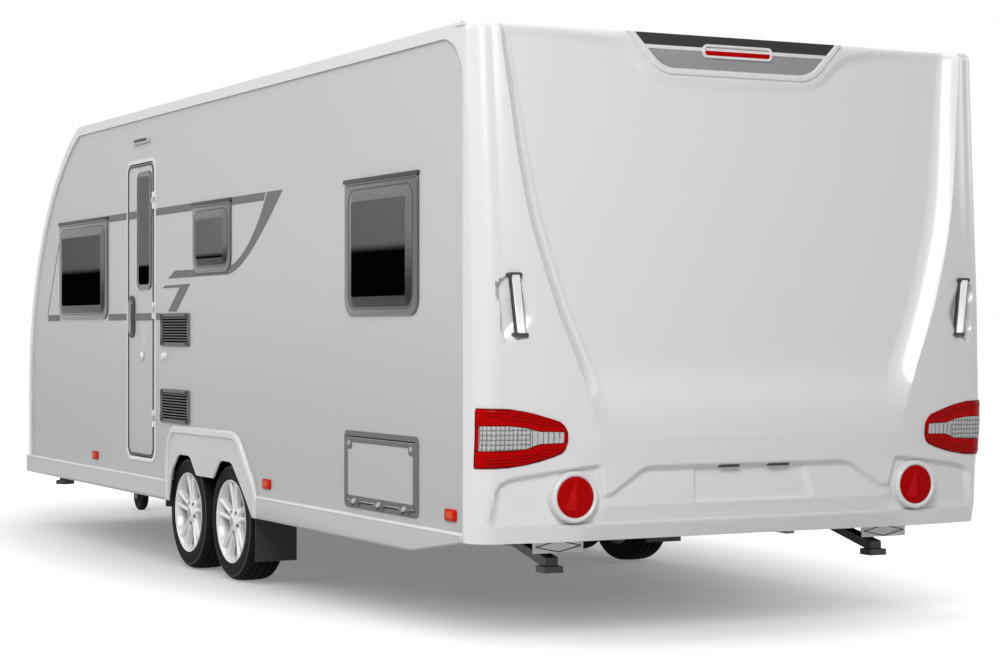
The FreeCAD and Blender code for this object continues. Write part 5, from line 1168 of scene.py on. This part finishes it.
def tyre(title, ahead, body):
    """A road tyre with a rounded shoulder, four grooves and cut shoulder blocks."""
    form = bmesh.new()
    centre = hub(ahead, 0.095)
    profile = [
        (0.078, 0.196), (0.0885, 0.2035), (0.0925, 0.214), (0.0948, 0.232), (0.0950, 0.246), (0.0930, 0.262),
        (0.0895, 0.272), (0.0835, 0.2795), (0.0735, 0.2850), (0.0600, 0.2885), (0.0545, 0.2895),
        (0.0525, 0.2825), (0.0455, 0.2825), (0.0435, 0.2902), (0.0240, 0.2912), (0.0220, 0.2835),
        (0.0150, 0.2835), (0.0130, 0.2915), (0.0, 0.2915),
    ]
    points = [(y, radius) for y, radius in profile] + [(-y, radius) for y, radius in reversed(profile[:-1])]
    verts = [form.verts.new(centre + Vector((0, y, radius))) for y, radius in points]
    inner = form.verts.new(centre + Vector((0, -0.070, 0.1915)))
    outer = form.verts.new(centre + Vector((0, 0.070, 0.1915)))
    loop = [outer] + verts + [inner]
    edges = [form.edges.new(pair) for pair in zip(loop, loop[1:] + loop[:1])]
    bmesh.ops.spin(form, geom=loop + edges, cent=centre, axis=(0, 1, 0), angle=math.tau, steps=TREAD_STEPS,
                   use_merge=True)
    bmesh.ops.remove_doubles(form, verts=form.verts, dist=WELD)
    bmesh.ops.recalc_face_normals(form, faces=form.faces)
    slots = []
    for face in form.faces:
        place = face.calc_center_median() - centre
        reach = math.hypot(place.x, place.z)
        step = math.floor(math.degrees(math.atan2(place.x, place.z)) * TREAD_STEPS / 360)
        if 0.060 < abs(place.y) < 0.0895 and reach > 0.275 and step % 4 == 0:
            slots.append(face)
        if 0.0895 < place.y < 0.0935 and 0.258 < reach < 0.274:     # a painted highlight: the lighter ring on the rounded outer shoulder
            face.material_index = 1
    bmesh.ops.inset_region(form, faces=slots, thickness=0.0008, depth=-SLOT_DEPTH)
    thing = piece(f"{title}_tyre_tread", form, [RUBBER, TYRE_PAINTED_HIGHLIGHT], body=body, sharp=24, slot="tyre_rubber")
    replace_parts(thing, f"{title}_tyre")


def wheels():
    """The four wheels, those on the right made on the left and mirrored."""
    for end, ahead in AXLES.items():
        for hand in ("left", "right"):
            title, body = f"{end}_{hand}", f"wheel_{end}_{hand}"
            before = set(bpy.data.objects)
            rim(title, ahead, body)
            tyre(title, ahead, body)
            if hand == "right":
                for thing in set(bpy.data.objects) - before:
                    thing.data.transform(MIRROR)
                    thing.data.flip_normals()


wheels()


# ---------------------------------------------------------------- cushions
VOXEL = 0.018                               # size of a cushion's cells while it is puffed out
CLOTH_STEPS = 20                            # frames for which the pressure acts
PRESSURE = 4
PUFF = 0.011                                # no point of a cushion swells further than this
PUFF_ROOM = 0.024                           # how much smaller than its place a cushion starts


def blown_up(thing, reach):
    """Puffs a cushion out by cloth pressure, no point moving further than reach."""
    even = thing.modifiers.new("even", "REMESH")
    even.mode = "VOXEL"
    even.voxel_size = VOXEL
    bpy.context.view_layer.update()
    mesh = bpy.data.meshes.new_from_object(thing.evaluated_get(bpy.context.evaluated_depsgraph_get()))
    thing.modifiers.remove(even)
    thing.data = mesh
    start = [point.co.copy() for point in mesh.vertices]
    cloth = thing.modifiers.new("pressure", "CLOTH")
    cloth.settings.use_pressure = True
    cloth.settings.uniform_pressure_force = PRESSURE
    cloth.settings.effector_weights.gravity = 0
    cloth.point_cache.frame_start = 1
    cloth.point_cache.frame_end = CLOTH_STEPS
    for step in range(1, CLOTH_STEPS + 1):
        bpy.context.scene.frame_set(step)
    shape = thing.evaluated_get(bpy.context.evaluated_depsgraph_get()).data
    for point, first, last in zip(mesh.vertices, start, [p.co.copy() for p in shape.vertices]):
        move = last - first
        if move.length > reach:
            move *= reach / move.length
        point.co = first + move
    thing.modifiers.remove(cloth)
    bpy.context.scene.frame_set(1)
    mesh.shade_smooth()


def cushion(title, low, high, first=False):
    """A seat, back or mattress cushion with rounded sides and a crowned face."""
    low, high = at(*low), at(*high)
    form = bmesh.new()
    bmesh.ops.create_cube(form, size=1)
    bmesh.ops.scale(form, vec=high - low - Vector((PUFF_ROOM, PUFF_ROOM, PUFF_ROOM)), verts=form.verts)
    bmesh.ops.translate(form, vec=(low + high) / 2, verts=form.verts)
    bmesh.ops.bevel(form, geom=form.edges[:], offset=0.022, offset_type="OFFSET", segments=4, profile=0.5,
                    affect="EDGES", material=-1)
    thing = piece(title, form, CLOTH, sharp=70, slot="upholstery")
    blown_up(thing, PUFF)
    softer = thing.modifiers.new("softer", "SUBSURF")
    softer.levels = softer.render_levels = 1
    if first:
        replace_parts(thing, "cushions")


cushion("lounge_seat_left", (4.790, 0.495, 0.857), (6.030, 1.171, 0.987), first=True)
cushion("lounge_back_left", (4.810, 1.061, 0.987), (6.010, 1.171, 1.277))
cushion("lounge_seat_right", (4.790, -1.171, 0.857), (6.030, -0.495, 0.987))
cushion("lounge_back_right", (4.810, -1.171, 0.987), (6.010, -1.061, 1.277))
cushion("mattress", (0.185, 0.420, 0.862), (2.090, 1.171, 1.002))


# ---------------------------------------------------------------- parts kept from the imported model
for title, width in {
    "rooflights": 0.006, "coupling_head": 0.0015, "drawbar": 0.003, "chassis_frame": 0.002,
    "jockey_post": 0.001, "jockey_fork": 0.001, "jockey_wheel": 0.003, "handbrake_lever": 0.0015,
    "steady_mounts": 0.001, "front_left_steady": 0.002, "front_right_steady": 0.002,
    "rear_left_steady": 0.002, "rear_right_steady": 0.002, "mud_flaps": 0.0015,
    "axles": 0.002, "front_locker_lid": 0.004, "wheel_boxes": 0.006,
}.items():
    dress(title, width)


# ---------------------------------------------------------------- stage, light and camera
FLOOR_STRETCH = (0.45, 1, 0)                # the painted shadow's shape: distances along the caravan count for less than those across it
PAINTED_SHADOW_REACH = (1.0, 2.9)                     # distances between which the floor's glow grows out of the painted shadow round the caravan
PAINTED_SHADOW_GLOW = (0.21, 1.0)                   # its strength at those distances: dim near the caravan, a painted shadow, and white far off
AMBIENT = 0.24                              # strength of the even light on the object
EYE = (-7.689, 5.047, 1.2383)               # the camera's place from the rear datum
LOOK = (0.891, -0.4536)                     # the level way it looks: ahead, and to the left


def seen_directly(nodes, links):
    """1 for what the camera sees straight on, in a mirror or through glass, and 0 for light on the object."""
    path = nodes.new("ShaderNodeLightPath")
    last = path.outputs["Is Camera Ray"]
    for ray in ("Is Transmission Ray", "Is Glossy Ray"):
        either = nodes.new("ShaderNodeMath")
        either.operation = "MAXIMUM"
        links.new(last, either.inputs[0])
        links.new(path.outputs[ray], either.inputs[1])
        last = either.outputs[0]
    return last


def stage():
    """A pale floor that shows the caravan's shadow, and whose own glow is dimmer near the caravan, a painted
    shadow.
    """
    form = bmesh.new()
    bmesh.ops.create_grid(form, x_segments=1, y_segments=1, size=90)
    mesh = bpy.data.meshes.new("studio_floor")
    form.to_mesh(mesh)
    form.free()
    ground = bpy.data.objects.new("studio_floor", mesh)
    bpy.context.scene.collection.objects.link(ground)
    material = bpy.data.materials.new("pale_floor")
    material.use_nodes = True
    nodes, links = material.node_tree.nodes, material.node_tree.links
    plain = nodes["Principled BSDF"]
    plain.inputs["Base Color"].default_value = (0.5, 0.5, 0.5, 1)
    plain.inputs["Roughness"].default_value = 0.9
    plain.inputs["Specular IOR Level"].default_value = 0.1
    glow = nodes.new("ShaderNodeEmission")
    lit = nodes.new("ShaderNodeAddShader")
    seen = seen_directly(nodes, links)
    # the floor's glow is dim near the caravan and grows with the distance from it: a painted shadow round the
    # caravan
    place = nodes.new("ShaderNodeTexCoord")
    distance = nodes.new("ShaderNodeVectorMath")
    distance.operation = "LENGTH"
    stretch = nodes.new("ShaderNodeVectorMath")
    stretch.operation = "MULTIPLY"
    stretch.inputs[1].default_value = FLOOR_STRETCH
    links.new(place.outputs["Object"], stretch.inputs[0])
    links.new(stretch.outputs["Vector"], distance.inputs[0])
    far = nodes.new("ShaderNodeMapRange")
    far.interpolation_type = "SMOOTHSTEP"
    far.inputs["From Min"].default_value, far.inputs["From Max"].default_value = PAINTED_SHADOW_REACH
    far.inputs["To Min"].default_value, far.inputs["To Max"].default_value = PAINTED_SHADOW_GLOW
    links.new(distance.outputs["Value"], far.inputs["Value"])
    level = nodes.new("ShaderNodeMath")
    level.operation = "MULTIPLY"
    links.new(seen, level.inputs[0])
    links.new(far.outputs["Result"], level.inputs[1])
    links.new(level.outputs[0], glow.inputs["Strength"])
    links.new(plain.outputs[0], lit.inputs[0])
    links.new(glow.outputs[0], lit.inputs[1])
    links.new(lit.outputs[0], nodes["Material Output"].inputs["Surface"])
    mesh.materials.append(material)


def world():
    """White where it is seen, and a soft even light on the object."""
    sky = bpy.data.worlds.new("studio")
    bpy.context.scene.world = sky
    sky.use_nodes = True
    nodes, links = sky.node_tree.nodes, sky.node_tree.links
    seen_light, soft_light = nodes["Background"], nodes.new("ShaderNodeBackground")
    for light, strength in ((seen_light, 1.0), (soft_light, AMBIENT)):
        light.inputs["Color"].default_value = (1, 1, 1, 1)
        light.inputs["Strength"].default_value = strength
    seen = seen_directly(nodes, links)
    pick = nodes.new("ShaderNodeMixShader")
    links.new(seen, pick.inputs["Fac"])
    links.new(soft_light.outputs[0], pick.inputs[1])
    links.new(seen_light.outputs[0], pick.inputs[2])
    links.new(pick.outputs[0], nodes["World Output"].inputs["Surface"])


def lamp(name, place, aim, size, power):
    """A soft square lamp at place that points at aim."""
    data = bpy.data.lights.new(name, "AREA")
    data.shape = "SQUARE"
    data.size = size
    data.energy = power
    light = bpy.data.objects.new(name, data)
    light.location = place
    light.rotation_euler = (Vector(aim) - Vector(place)).to_track_quat("-Z", "Y").to_euler()
    bpy.context.scene.collection.objects.link(light)


def camera():
    """A level camera to the rear left of the caravan, at chest height, with a long lens."""
    data = bpy.data.cameras.new("camera")
    data.lens = 81.28                       # millimetres
    data.sensor_width = 36.0
    data.shift_y = -0.0042
    data.clip_end = 300
    eye = bpy.data.objects.new("camera", data)
    eye.location = at(*EYE)
    eye.rotation_euler = (math.radians(90), 0, math.atan2(-LOOK[0], LOOK[1]))
    bpy.context.scene.collection.objects.link(eye)
    bpy.context.scene.camera = eye


stage()
world()
camera()
lamp("overhead", (-0.5, 1.5, 9.0), (-0.5, 0.5, 0), 8.0, 390)
lamp("left_side", (1.0, 10.0, 6.5), (0, 0, 1.4), 5.0, 340)
lamp("rear_left", (-10.2, 5.0, 5.8), (-3.8, 0, 1.2), 3.5, 585)
lamp("right_side", (-4.0, -10.0, 5.0), (-0.5, 0, 1.2), 5.0, 170)

bpy.context.scene.view_settings.view_transform = "Standard"
